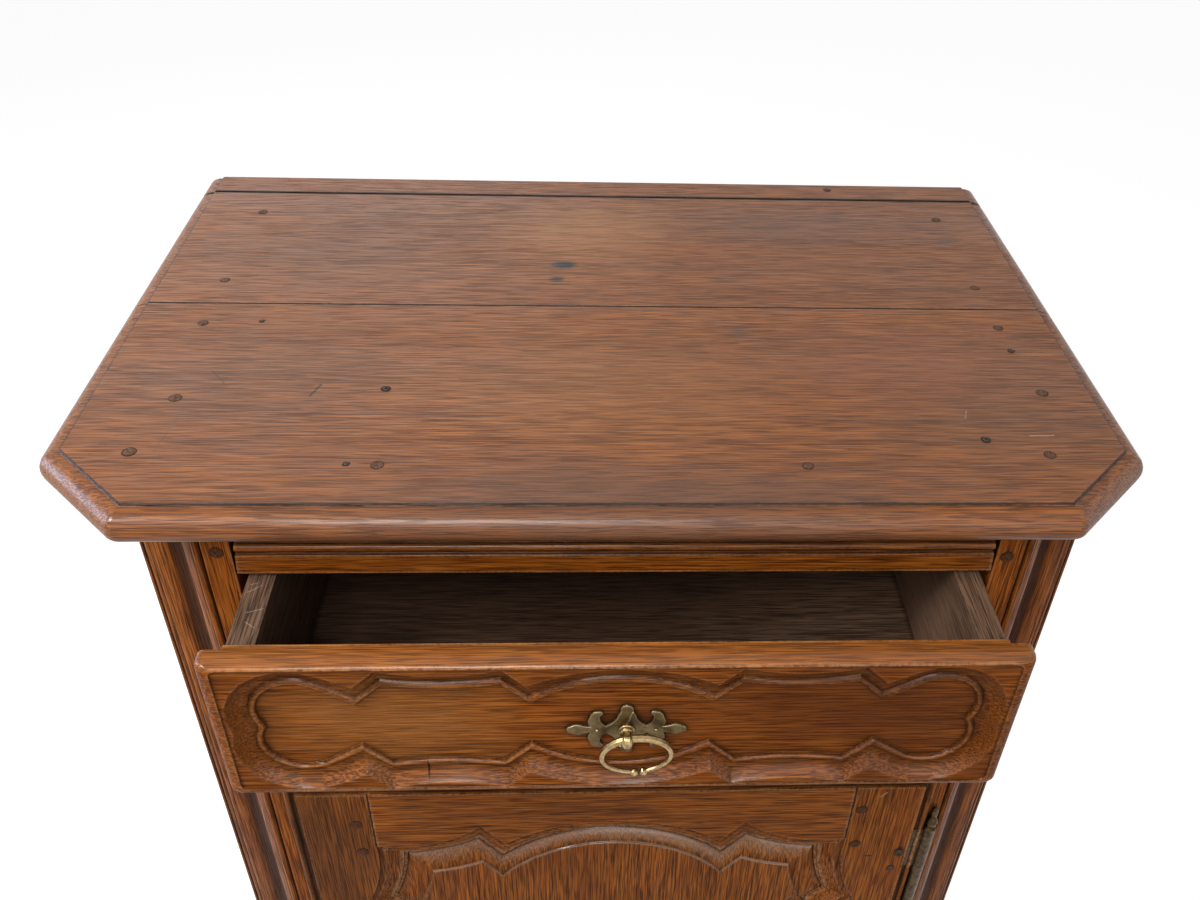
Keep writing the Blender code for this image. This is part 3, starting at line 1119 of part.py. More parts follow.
def key(centre, outside, inside, bolt_y):
    shaft = [(KEY_SHAFT, outside - KEY_SHAFT_OUT), (KEY_SHAFT, inside)]
    obj = piece("key", turned(shaft, centre, (0, 1, 0)), IRON, door, centre, smooth=SMOOTH)
    lean = Matrix.Rotation(KEY_TURN / 2, 4, "Y")
    around = Matrix.Translation(centre) @ lean @ Matrix.Translation(-centre)
    half = KEY_BIT_THICKNESS / 2
    bit = box((KEY_X - half, KEY_X + half), bolt_y, (centre.z, centre.z + KEY_BIT))
    bit.transform(around)
    combine(obj, helper("key_bit", bit, door), "UNION")
    bow_y = outside - KEY_SHAFT_OUT - BOW_LENGTH / 2 + BOW_WIRE
    ring = []
    for i in range(BOW_STEPS):
        angle = math.tau * i / BOW_STEPS
        out, up = BOW_LENGTH / 2 * math.cos(angle), BOW_WIDTH / 2 * math.sin(angle)
        spot = Vector((KEY_X, bow_y + out, centre.z + up))
        ring.append((around @ spot, BOW_WIRE))
    combine(obj, helper("key_bow", swept(ring, closed=True), door), "UNION")


top_boards()
post = posts()
front_rail = front_rails(post)
side_frames(post)
back_rail = back(post)
floor_and_shelf()
drawer_ways(front_rail, back_rail)
fronted = drawer_front()
drawer_box(fronted)
handle(fronted)
frame = door_frame()
door_panel()
hinges(frame["right"], post["right"][0])
lock(frame["left"], post["left"][0])
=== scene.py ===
"""Dresses the frame of an oak jam cupboard: wood, wax, brass, iron, pegs and nails in a plain studio."""

import json
import logging
import math
import random
from dataclasses import dataclass, field, replace
from enum import Enum
from typing import Any, ClassVar

import bmesh
import bpy
from mathutils import Matrix, Vector

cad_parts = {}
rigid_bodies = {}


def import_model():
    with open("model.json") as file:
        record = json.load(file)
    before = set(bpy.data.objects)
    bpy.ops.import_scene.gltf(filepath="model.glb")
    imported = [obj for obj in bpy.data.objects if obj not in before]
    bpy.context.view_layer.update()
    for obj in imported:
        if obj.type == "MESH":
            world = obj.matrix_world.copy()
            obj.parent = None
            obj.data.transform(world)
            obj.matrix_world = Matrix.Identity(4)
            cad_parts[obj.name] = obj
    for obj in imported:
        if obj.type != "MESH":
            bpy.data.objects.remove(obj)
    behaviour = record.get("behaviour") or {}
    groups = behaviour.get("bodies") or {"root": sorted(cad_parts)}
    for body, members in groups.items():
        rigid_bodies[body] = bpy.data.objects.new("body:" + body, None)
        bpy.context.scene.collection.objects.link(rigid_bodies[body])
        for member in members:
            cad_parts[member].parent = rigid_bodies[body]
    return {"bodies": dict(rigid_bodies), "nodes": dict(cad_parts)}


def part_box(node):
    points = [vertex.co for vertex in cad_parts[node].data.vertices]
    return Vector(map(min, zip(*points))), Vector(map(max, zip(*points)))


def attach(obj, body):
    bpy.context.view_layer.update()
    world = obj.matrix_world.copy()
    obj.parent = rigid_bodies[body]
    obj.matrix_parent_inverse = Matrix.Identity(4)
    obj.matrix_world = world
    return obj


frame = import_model()
CASE_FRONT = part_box("front_post_left")[0][1]

log = logging.getLogger("jam_cupboard")
Socket = bpy.types.NodeSocket
Colour = tuple[float, float, float]
Point = tuple[float, float, float]
Spots = tuple[tuple[float, float], ...]
WHITE: Colour = (1.0, 1.0, 1.0)


class Grain(Enum):
    """The way a board's fibres run, as the turn that lays them along X."""

    ACROSS = (0.0, 0.0, 0.0)
    INWARDS = (0.0, 0.0, -math.pi / 2)
    UPRIGHT = (0.0, math.pi / 2, 0.0)


class Body(Enum):
    """The bodies that pegs, nails, pins and screws ride on."""

    CASE = "case"
    DRAWER = "drawer"
    DOOR = "door"


class Slot(Enum):
    """The record's finishes by name."""

    TOP = "waxed_oak_top"
    FRONT = "waxed_oak_front"
    BRASS = "aged_brass"
    IRON = "dark_iron"


class Facing(Enum):
    """The way a peg or nail head looks, as the world axes of its two sides and its height."""

    UP = ((1, 0, 0), (0, 1, 0), (0, 0, 1))
    FRONT = ((1, 0, 0), (0, 0, 1), (0, -1, 0))
    BACK = ((-1, 0, 0), (0, 0, 1), (0, 1, 0))
    LEFT = ((0, -1, 0), (0, 0, 1), (-1, 0, 0))
    RIGHT = ((0, 1, 0), (0, 0, 1), (1, 0, 0))

    def at(self, point: Point) -> Matrix:
        """The frame of a head that stands at a point."""
        turned = Matrix(self.value).transposed().to_4x4()
        return Matrix.Translation(point) @ turned


class Wiring:
    """Adds and joins the nodes of one tree."""

    MEASURES = ("LENGTH", "DISTANCE", "DOT_PRODUCT")

    def __init__(self, tree: bpy.types.NodeTree) -> None:
        """Keeps the tree whose nodes are wired."""
        self.tree = tree

    def add(self, kind: str, given: Any = (), **settings: Any) -> bpy.types.Node:
        """Adds one node.

        Args:
            kind: Blender's name for the node.
            given: what its inputs take, in order or by name or number.
            settings: properties to set on it.

        Returns:
            The new node.
        """
        node = self.tree.nodes.new(kind)
        for name, value in settings.items():
            setattr(node, name, value)
        self.fill(node, given if isinstance(given, dict) else dict(enumerate(given)))
        return node

    def fill(self, node: bpy.types.Node, given: dict[Any, Any]) -> None:
        """Feeds a node's inputs by name or number."""
        for key, value in given.items():
            self.feed(node.inputs[key], value)

    def feed(self, socket: Socket, value: Any) -> None:
        """Joins an output to a socket, or sets the socket to a constant.

        Args:
            socket: the input that is fed.
            value: an output or a constant, where a colour is three numbers.
        """
        if isinstance(value, bpy.types.NodeSocket):
            self.tree.links.new(value, socket)
        else:
            socket.default_value = (*value, 1.0) if socket.type == "RGBA" else value

    def maths(self, operation: str, first: Any, second: Any = 0.0, third: Any = 0.0,
              clamp: bool = False) -> Socket:
        """Reckons with up to three values, each a number or an output."""
        given = (first, second, third)
        return self.add("ShaderNodeMath", given, operation=operation, use_clamp=clamp).outputs[0]

    def times(self, first: Any, second: Any) -> Socket:
        """The product of two values."""
        return self.maths("MULTIPLY", first, second)

    def vector(self, operation: str, first: Any, second: Any = (0.0, 0.0, 0.0)) -> Socket:
        """Reckons with vectors; gives a vector, or a value where the operation measures."""
        node = self.add("ShaderNodeVectorMath", (first, second), operation=operation)
        return node.outputs["Value" if operation in self.MEASURES else "Vector"]

    def scaled(self, vector: Any, by: Any) -> Socket:
        """A vector stretched along its axes by three numbers, or evenly by one number or output."""
        return self.vector("MULTIPLY", vector, (by,) * 3 if isinstance(by, float) else by)

    def noise(self, vector: Socket, stretch: Any, detail: float = 2.0, rough: float = 0.5) -> Any:
        """The outputs of noise with so many features per metre, along each axis or along all."""
        given = {"Vector": self.scaled(vector, stretch), "Scale": 1.0, "Detail": detail, "Roughness": rough}
        return self.add("ShaderNodeTexNoise", given).outputs

    def step(self, value: Any, low: Any, high: Any, start: float = 0.0, end: float = 1.0) -> Socket:
        """A smooth step from start to end as the value goes from low to high."""
        given = (value, low, high, start, end)
        return self.add("ShaderNodeMapRange", given, interpolation_type="SMOOTHSTEP").outputs[0]

    def blend(self, share: Any, first: Any, second: Any) -> Socket:
        """A mix of two colours, with so large a share of the second."""
        return self.add("ShaderNodeMix", {0: share, 6: first, 7: second}, data_type="RGBA").outputs[2]

    def occlusion(self, reach: float, samples: int, **settings: Any) -> Socket:
        """How open a point is to what lies within reach."""
        given = {"Distance": reach}
        return self.add("ShaderNodeAmbientOcclusion", given, samples=samples, **settings).outputs["AO"]

    def upward(self) -> Socket:
        """How far a face looks up, from -1 to 1."""
        normal = self.add("ShaderNodeNewGeometry").outputs["Normal"]
        return self.add("ShaderNodeSeparateXYZ", (normal,)).outputs["Z"]

    def roughen(self, shader: bpy.types.Node, height: Socket, relief: float) -> None:
        """Gives a shader a bump, whose height counts in shares of the relief."""
        bump = self.add("ShaderNodeBump", {"Distance": relief, "Height": height})
        self.feed(shader.inputs["Normal"], bump.outputs[0])


def new_material(name: str) -> tuple[bpy.types.Material, Wiring, bpy.types.Node]:
    """Starts a material.

    Args:
        name: the material's name.

    Returns:
        The material, its wiring and its shader.
    """
    made = bpy.data.materials.new(name)
    made.use_nodes = True
    return made, Wiring(made.node_tree), made.node_tree.nodes["Principled BSDF"]


@dataclass
class ShaderGroup:
    """An effect that several finishes share, wired once in a tree of its own."""

    w: Wiring
    given: Any
    name: ClassVar[str] = ""
    inputs: ClassVar[dict[str, Any]] = {}
    outputs: ClassVar[tuple[str, ...]] = ()

    @classmethod
    def tree(cls) -> bpy.types.NodeTree:
        """The group's tree, built on first use.

        Returns:
            The node group.
        """
        made = bpy.data.node_groups.get(cls.name)
        if made:
            return made
        made = bpy.data.node_groups.new(cls.name, "ShaderNodeTree")
        for name, default in cls.inputs.items():
            kind = "NodeSocketVector" if isinstance(default, tuple) else "NodeSocketFloat"
            socket = made.interface.new_socket(name, in_out="INPUT", socket_type=kind)
            socket.default_value = default
        for name in cls.outputs:
            made.interface.new_socket(name, in_out="OUTPUT", socket_type="NodeSocketFloat")
        w = Wiring(made)
        w.add("NodeGroupOutput", cls(w, w.add("NodeGroupInput").outputs).wire())
        return made

    def wire(self) -> dict[str, Socket]:
        """Wires the group's inside and gives what it puts out, by name."""
        raise NotImplementedError

    @classmethod
    def place(cls, w: Wiring, **values: Any) -> Any:
        """The outputs of the group, placed in a material with inputs by name (_ for a space)."""
        given = {name.replace("_", " "): value for name, value in values.items()}
        return w.add("ShaderNodeGroup", given, node_tree=cls.tree()).outputs


class OakGrain(ShaderGroup):
    """Solid oak with its fibres along X: growth rings round a pith, pores, fibres and ray flecks."""

    name = "oak_grain"
    inputs = {"Vector": (0.0, 0.0, 0.0), "Pith": (0.0, 0.05, 0.09), "Ring Width": 0.004}
    outputs = ("Tone", "Pores", "Flecks", "Cloud", "Height")
    SWAY_SIZE = (1.3, 13.0, 13.0)
    FIBRE_SIZE = (19.0, 900.0, 900.0)
    STREAK_SIZE = (9.0, 260.0, 260.0)
    PORE_SIZE = (27.0, 1050.0, 1050.0)
    FLECK_SIZE = (30.0, 620.0, 620.0)
    SWAY = 0.008
    ROUND_PITH = (0.0, 1.0, 1.0)

    def wire(self) -> dict[str, Socket]:
        """Wires rings, pores, fibres and flecks.

        Returns:
            Tone, pores, flecks, cloud and height.
        """
        w, given = self.w, self.given
        slow = w.noise(given["Vector"], self.SWAY_SIZE)
        swing = w.scaled(w.vector("SUBTRACT", slow["Color"], (0.5, 0.5, 0.5)), self.ROUND_PITH)
        bent = w.vector("ADD", given["Vector"], w.scaled(swing, self.SWAY))
        spoke = w.vector("ADD", w.scaled(bent, self.ROUND_PITH), given["Pith"])
        radius = w.vector("LENGTH", spoke)
        phase = w.maths("FRACT", w.maths("DIVIDE", radius, given["Ring Width"]))
        early = w.step(phase, 0.0, 0.5, 1.0, 0.0)
        fibre = w.noise(bent, self.FIBRE_SIZE, 1.0)["Fac"]
        streak = w.noise(bent, self.STREAK_SIZE, 2.0, 0.6)["Fac"]
        dash = w.noise(bent, self.PORE_SIZE, 1.0)["Fac"]
        pores = w.step(w.maths("ADD", dash, w.times(early, 0.05)), 0.54, 0.66)
        fleck = w.noise(bent, self.FLECK_SIZE, 1.0)["Fac"]
        line = w.maths("ADD", w.times(fibre, 0.86), w.times(streak, 0.14))
        tone = w.maths("MULTIPLY_ADD", line, 3.6, -1.30)
        tone = w.maths("SUBTRACT", tone, w.times(early, 0.10))
        cloud = slow["Fac"]
        tone = w.maths("ADD", tone, w.times(w.maths("SUBTRACT", cloud, 0.5), 0.4), clamp=True)
        height = w.maths("SUBTRACT", w.times(line, 0.7), pores)
        return {"Tone": tone, "Pores": pores, "Flecks": w.step(fleck, 0.55, 0.70), "Cloud": cloud,
                "Height": height}


class AgeAndShade(ShaderGroup):
    """Waxy grime and painted shade in hollows, in quirks and between parts, less on faces that look up, and
    wear with a painted highlight along arrises, from occlusion values.
    """

    name = "age_and_shade"
    inputs = {"Vector": (0.0, 0.0, 0.0), "Hollow": 1.0, "Quirk": 1.0, "Arris": 1.0, "Upward": 0.0,
              "Wax": 0.8, "Rub": 0.6}
    outputs = ("Wax", "WearHighlight", "Bruise")

    def wire(self) -> dict[str, Socket]:
        """Wires the masks of waxy grime with painted shade, of wear with a painted highlight, and of bruises.

        Returns:
            The masks of waxy grime with painted shade, of wear with a painted highlight, and of bruises.
        """
        w, given = self.w, self.given
        patch = w.noise(given["Vector"], 60.0, 3.0, 0.6)["Fac"]
        fine = w.noise(given["Vector"], 260.0, 2.0, 0.6)["Fac"]
        # painted shade with waxy grime: hollows darken, less where faces look up, and quirks and gaps between
        # parts darken
        cove = w.times(w.step(given["Hollow"], 0.78, 0.975, 1.0, 0.0),
                       w.step(given["Upward"], 0.10, 0.55, 1.0, 0.3))
        hollow = w.maths("MAXIMUM", cove, w.step(given["Quirk"], 0.78, 0.965, 1.0, 0.0))
        ragged = w.maths("ADD", hollow, w.times(w.maths("SUBTRACT", patch, 0.5), 0.35))
        wax_shade = w.times(w.step(ragged, 0.06, 0.58), given["Wax"])
        # wear with a painted highlight: arrises are paled
        arris = w.step(given["Arris"], 0.52, 0.95, 1.0, 0.0)
        rubbed_highlight = w.times(arris, w.step(fine, 0.34, 0.62))
        bruise = w.times(arris, w.step(patch, 0.60, 0.72))
        return {"Wax": wax_shade, "WearHighlight": w.times(rubbed_highlight, given["Rub"]), "Bruise": bruise}


class SoftMark(ShaderGroup):
    """An oval with ragged edges, for stains, patches of wear and patches of painted light and shade."""

    name = "soft_mark"
    inputs = {"Vector": (0.0, 0.0, 0.0), "Centre": (0.0, 0.0, 0.0), "Across": (0.01, 0.01, 0.01),
              "Edge": 0.5}
    RAGGED = 0.7
    outputs = ("Mask",)

    def wire(self) -> dict[str, Socket]:
        """Wires the oval's mask.

        Returns:
            The oval's mask.
        """
        w, given = self.w, self.given
        away = w.vector("SUBTRACT", given["Vector"], given["Centre"])
        share = w.vector("DIVIDE", away, given["Across"])
        reach = w.vector("LENGTH", share)
        torn = w.noise(share, 2.2, 3.0, 0.6)["Fac"]
        torn = w.times(w.maths("SUBTRACT", torn, 0.5), self.RAGGED)
        start = w.maths("SUBTRACT", 1.0, given["Edge"])
        return {"Mask": w.step(w.maths("ADD", reach, torn), start, 1.0, 1.0, 0.0)}


class Score(ShaderGroup):
    """A line between two points, for scratches, cracks, dark joints, and quirks and gaps darkened by waxy
    grime and painted shade.
    """

    name = "score"
    inputs = {"Vector": (0.0, 0.0, 0.0), "From": (0.0, 0.0, 0.0), "To": (0.0, 0.0, 0.0), "Width": 0.001}
    outputs = ("Mask",)

    def wire(self) -> dict[str, Socket]:
        """Wires the distance from the line between the two points.

        Returns:
            The line's mask.
        """
        w, given = self.w, self.given
        wobble = w.noise(given["Vector"], 140.0, 2.0)["Color"]
        wobble = w.vector("SUBTRACT", wobble, (0.5, 0.5, 0.5))
        bent = w.vector("ADD", given["Vector"], w.scaled(wobble, 0.002))
        out = w.vector("SUBTRACT", bent, given["From"])
        run = w.vector("SUBTRACT", given["To"], given["From"])
        along = w.vector("DOT_PRODUCT", out, run)
        whole = w.vector("DOT_PRODUCT", run, run)
        share = w.maths("DIVIDE", along, whole, clamp=True)
        off = w.vector("DISTANCE", out, w.scaled(run, share))
        return {"Mask": w.step(off, w.times(given["Width"], 0.3), given["Width"], 1.0, 0.0)}


class Tarnish(ShaderGroup):
    """What age leaves on metal: dark tarnish in the hollows, edges lightened by handling and on their upper
    side by a painted highlight, mottling and file marks.
    """

    name = "tarnish"
    inputs = {"Vector": (0.0, 0.0, 0.0), "Hollow": 1.0, "Arris": 1.0, "Upward": 0.0, "Spread": 0.5}
    outputs = ("Bloom", "Edge", "Mottle", "Height")

    def wire(self) -> dict[str, Socket]:
        """Wires bloom, edges, mottling and file marks.

        Returns:
            Masks of bloom, edge and mottle, and the height.
        """
        w, given = self.w, self.given
        mottle = w.noise(given["Vector"], 190.0, 4.0, 0.6)["Fac"]
        file_marks = w.noise(given["Vector"], (2600.0, 500.0, 900.0), 2.0)["Fac"]
        hollow = w.step(given["Hollow"], 0.25, 0.95, 1.0, 0.0)
        both = w.maths("ADD", hollow, w.times(mottle, given["Spread"]))
        height = w.maths("ADD", w.times(mottle, 0.6), w.times(file_marks, 0.25))
        # edges lightened by handling, kept to their upper side as a painted highlight
        edge = w.times(w.step(given["Arris"], 0.45, 0.90, 1.0, 0.0),
                       w.step(given["Upward"], -0.35, 0.45))
        return {"Bloom": w.step(both, 0.30, 1.05), "Edge": edge, "Mottle": mottle, "Height": height}


@dataclass(frozen=True)
class SoftPatch:
    """A soft patch of colour on a board, for stains and for painted light and shade: where, how large, and
    the colour it leaves.
    """

    centre: Point
    across: Point
    colour: Colour
    strength: float
    edge: float = 0.6


@dataclass(frozen=True)
class LineMark:
    """A line on a board, for scratches, cracks, dark joints, and quirks and gaps darkened by waxy grime and
    painted shade.
    """

    start: Point
    end: Point
    width: float
    colour: Colour
    strength: float


@dataclass(frozen=True)
class OakFinish:
    """Oak under wax, or bare: its colours and how it takes the light."""

    HOLLOW_REACH = 0.026
    QUIRK_REACH = 0.0045
    ARRIS_REACH = 0.0034
    COAT_ROUGH = 0.20
    COAT_BEND = 1.7
    RAYS = 3
    BLUSH_SIZE = (2.5, 14.0, 14.0)
    GOUGE_SIZE = 520.0

    label: str
    pale: Colour
    deep: Colour
    pore: Colour
    fleck: Colour
    tint: Colour
    # colour of the waxy grime and painted shade laid in hollows, quirks and between parts
    wax_shade: Colour = (0.016, 0.007, 0.003)
    # colour of arrises paled by wear and a painted highlight, also laid as a painted sheen on faces that look
    # up
    worn_and_highlight: Colour = (0.46, 0.24, 0.11)
    rough: float = 0.40
    gloss: float = 0.30
    pore_depth: float = 0.72
    fleck_share: float = 0.26
    tint_share: float = 0.45
    # strength of the waxy grime with painted shade, then of the wear with its painted highlight
    wax_shade_share: float = 0.9
    rub_and_highlight: float = 0.50
    burnish: float = 0.4
    polish: float = 0.0
    level: float = 1.0
    # share of a painted sheen that pales faces which look up
    tarnish_and_painted_sheen: float = 0.0
    relief: float = 0.00045
    ring: float = 0.0036

    def material(self, name: str, grain: Grain, seed: int, marks: tuple[Any, ...] = ()) -> bpy.types.Material:
        """Makes the finish for one board.

        Args:
            name: the board's name.
            grain: which way its fibres run.
            seed: sets it apart from other boards.
            marks: its stains, scratches, dark lines and patches of painted light and shade.

        Returns:
            The material.
        """
        made, w, shader = new_material(f"{self.label}_{name}")
        chance = random.Random(seed)
        place = w.add("ShaderNodeTexCoord").outputs["Object"]
        start = [chance.uniform(-3.0, 3.0) for _ in range(3)]
        laid = w.add("ShaderNodeMapping", {"Vector": place, "Rotation": grain.value, "Location": start})
        start = laid.inputs["Location"].default_value
        pith = (0.0, chance.uniform(-0.08, 0.08) - start[1], chance.uniform(0.05, 0.12) - start[2])
        oak = OakGrain.place(w, Vector=laid.outputs[0], Pith=pith, Ring_Width=self.ring)
        upward = w.upward()
        # occlusion finds hollows, quirks and arrises: painted shade with waxy grime goes in the first two,
        # wear with a painted highlight on the last
        hollow = w.occlusion(self.HOLLOW_REACH, self.RAYS, only_local=True)
        quirk = w.occlusion(self.QUIRK_REACH, self.RAYS)
        arris = w.occlusion(self.ARRIS_REACH, self.RAYS, only_local=True, inside=True)
        aged_and_shaded = AgeAndShade.place(w, Vector=place, Hollow=hollow, Quirk=quirk, Arris=arris, Upward=upward,
                               Wax=self.wax_shade_share, Rub=self.rub_and_highlight)
        blush = w.step(w.noise(laid.outputs[0], self.BLUSH_SIZE, 3.0)["Fac"], 0.35, 0.70)
        blush = w.times(blush, self.tint_share)
        layers = [(blush, self.tint), (w.times(oak["Flecks"], self.fleck_share), self.fleck),
                  (w.times(oak["Pores"], self.pore_depth), self.pore), (aged_and_shaded["WearHighlight"], self.worn_and_highlight)]
        # painted sheen: faces that look up are paled towards the arris colour
        if self.tarnish_and_painted_sheen:
            rise = w.step(upward, 0.03, 0.24, 0.0, self.tarnish_and_painted_sheen)
            layers.append((w.times(rise, w.step(blush, 0.0, 0.2, 1.0, 0.6)), self.worn_and_highlight))
        dull = 0.0
        for mark in marks:
            mask = self.mask(w, place, mark)
            layers.append((mask, mark.colour))
            if isinstance(mark, LineMark):
                dull = w.maths("MAXIMUM", dull, mask)
        colour = w.blend(oak["Tone"], self.deep, self.pale)
        # the waxy grime and painted shade go on last
        for share, over in [*layers, (aged_and_shaded["Wax"], self.wax_shade)]:
            colour = w.blend(share, colour, over)
        rough = w.maths("MULTIPLY_ADD", oak["Pores"], 0.16, self.rough)
        rough = w.maths("MULTIPLY_ADD", w.maths("SUBTRACT", oak["Cloud"], 0.5), 0.22, rough)
        rough = w.maths("SUBTRACT", rough, w.times(aged_and_shaded["WearHighlight"], 0.12), clamp=True)
        w.fill(shader, {"Base Color": colour, "Roughness": rough, "Specular IOR Level": self.gloss})
        if self.burnish:
            rubbed_highlight = w.times(aged_and_shaded["WearHighlight"], self.burnish / self.rub_and_highlight)
            dusted = w.times(w.step(upward, 0.15, 0.60, 0.0, self.polish),
                             w.step(upward, 0.88, 0.98, 1.0, self.level))
            coat = w.maths("SUBTRACT", w.maths("ADD", rubbed_highlight, dusted), dull, clamp=True)
            coat = w.times(coat, w.maths("SUBTRACT", 1.0, aged_and_shaded["Wax"]))
            w.fill(shader, {"Coat Weight": coat, "Coat Roughness": self.COAT_ROUGH,
                            "Coat IOR": self.COAT_BEND})
        gouges = w.noise(place, self.GOUGE_SIZE, 1.0)["Fac"]
        gouges = w.times(gouges, w.step(hollow, 0.40, 0.95, 0.4, 0.0))
        height = w.maths("ADD", oak["Height"], gouges)
        w.roughen(shader, w.maths("SUBTRACT", height, w.times(aged_and_shaded["Bruise"], 1.2)), self.relief)
        return made

    @staticmethod
    def mask(w: Wiring, place: Socket, mark: SoftPatch | LineMark) -> Socket:
        """Finds where one patch or line mark lies.

        Args:
            w: the material's wiring.
            place: the board's coordinates.
            mark: the patch or line mark.

        Returns:
            How strong it is at each point.
        """
        if isinstance(mark, SoftPatch):
            mask = SoftMark.place(w, Vector=place, Centre=mark.centre, Across=mark.across,
                                  Edge=mark.edge)["Mask"]
        else:
            mask = Score.place(w, Vector=place, From=mark.start, To=mark.end, Width=mark.width)["Mask"]
        return w.times(mask, mark.strength)


@dataclass(frozen=True)
class MetalFinish:
    """Brass or iron with its tarnish."""

    HOLLOW_REACH = 0.005
    ARRIS_REACH = 0.0012

    label: str
    bright: Colour
    warm: Colour
    tarnish_and_painted_sheen: Colour
    # colour of edges lightened by handling and by a painted highlight
    handled_and_highlight: Colour
    rough: float
    spread: float
    relief: float = 0.00012

    def material(self, name: str) -> bpy.types.Material:
        """Makes the finish for one piece.

        Args:
            name: the piece's name.

        Returns:
            The material.
        """
        made, w, shader = new_material(f"{self.label}_{name}")
        place = w.add("ShaderNodeTexCoord").outputs["Object"]
        hollow = w.occlusion(self.HOLLOW_REACH, 6)
        arris = w.occlusion(self.ARRIS_REACH, 4, only_local=True, inside=True)
        age = Tarnish.place(w, Vector=place, Hollow=hollow, Arris=arris, Upward=w.upward(),
                            Spread=self.spread)
        colour = w.blend(w.step(age["Mottle"], 0.35, 0.65), self.bright, self.warm)
        colour = w.blend(w.times(age["Bloom"], 0.9), colour, self.tarnish_and_painted_sheen)
        # edges lightened by handling and by a painted highlight on their upper side
        colour = w.blend(age["Edge"], colour, self.handled_and_highlight)
        rough = w.maths("MULTIPLY_ADD", age["Bloom"], 0.28, self.rough)
        w.fill(shader, {"Base Color": colour, "Roughness": rough, "Metallic": 1.0})
        w.roughen(shader, age["Height"], self.relief)
        return made


TOP_OAK = OakFinish(
    "top_oak", pale=(0.385, 0.129, 0.028), deep=(0.142, 0.039, 0.0085), pore=(0.034, 0.011, 0.004),
    fleck=(0.44, 0.18, 0.052), tint=(0.26, 0.074, 0.014), rough=0.38, gloss=0.34, pore_depth=0.6,
    fleck_share=0.22, wax_shade_share=0.8, rub_and_highlight=0.30, polish=0.3, level=0.0)
# front oak: its arris colour is also a painted highlight, and a little painted sheen pales faces that look up
FRONT_OAK = OakFinish(
    "front_oak", pale=(0.450, 0.134, 0.018), deep=(0.118, 0.028, 0.0030), pore=(0.028, 0.007, 0.0015),
    fleck=(0.52, 0.200, 0.034), tint=(0.24, 0.057, 0.005), worn_and_highlight=(0.56, 0.29, 0.125), rough=0.36, gloss=0.04,
    pore_depth=0.65, rub_and_highlight=0.65, burnish=0.12, polish=0.4, tarnish_and_painted_sheen=0.05)
# panel: a strong painted sheen pales the faces of the raised panel that look up
PANEL_OAK = replace(
    FRONT_OAK, label="panel_oak", worn_and_highlight=(0.50, 0.34, 0.22), polish=0.9, tarnish_and_painted_sheen=0.34)
POST_OAK = replace(
    FRONT_OAK, label="post_oak", pale=(0.48, 0.136, 0.017), deep=(0.125, 0.029, 0.0030), rub_and_highlight=0.30,
    burnish=0.04)
RAW_OAK = OakFinish(
    "raw_oak", pale=(0.230, 0.135, 0.085), deep=(0.090, 0.048, 0.028), pore=(0.030, 0.015, 0.009),
    fleck=(0.28, 0.18, 0.12), tint=(0.130, 0.068, 0.038), wax_shade=(0.020, 0.012, 0.008),
    worn_and_highlight=(0.30, 0.21, 0.15), rough=0.68, gloss=0.15, wax_shade_share=0.6, rub_and_highlight=0.45, burnish=0.0, relief=0.0006)
PEG_OAK = OakFinish(
    "peg_oak", pale=(0.135, 0.052, 0.019), deep=(0.050, 0.018, 0.006), pore=(0.012, 0.006, 0.004),
    fleck=(0.12, 0.06, 0.034), tint=(0.080, 0.030, 0.010), worn_and_highlight=(0.17, 0.080, 0.040), rough=0.46,
    gloss=0.03, rub_and_highlight=0.3, burnish=0.0)
TOP_PEG_OAK = replace(
    PEG_OAK, label="top_peg_oak", pale=(0.22, 0.125, 0.085), deep=(0.085, 0.045, 0.029),
    tint=(0.15, 0.080, 0.053), worn_and_highlight=(0.26, 0.16, 0.11))
PALE_BRASS = MetalFinish(
    "brass", bright=(0.42, 0.30, 0.145), warm=(0.27, 0.18, 0.078), tarnish_and_painted_sheen=(0.060, 0.038, 0.017),
    handled_and_highlight=(0.70, 0.55, 0.32), rough=0.26, spread=0.70)
# the plate's pale edge colour is also a painted highlight on its upper chamfers
PLATE_BRASS = MetalFinish(
    "plate_brass", bright=(0.150, 0.104, 0.046), warm=(0.095, 0.062, 0.025), tarnish_and_painted_sheen=(0.040, 0.025, 0.011),
    handled_and_highlight=(0.80, 0.66, 0.42), rough=0.36, spread=0.60)
DULL_BRASS = MetalFinish(
    "dull_brass", bright=(0.085, 0.052, 0.023), warm=(0.050, 0.027, 0.011), tarnish_and_painted_sheen=(0.020, 0.010, 0.004),
    handled_and_highlight=(0.24, 0.16, 0.080), rough=0.36, spread=1.0)
DARK_IRON = MetalFinish(
    "iron", bright=(0.036, 0.032, 0.028), warm=(0.026, 0.019, 0.015), tarnish_and_painted_sheen=(0.012, 0.009, 0.007),
    handled_and_highlight=(0.075, 0.066, 0.058), rough=0.50, spread=0.8, relief=0.0004)


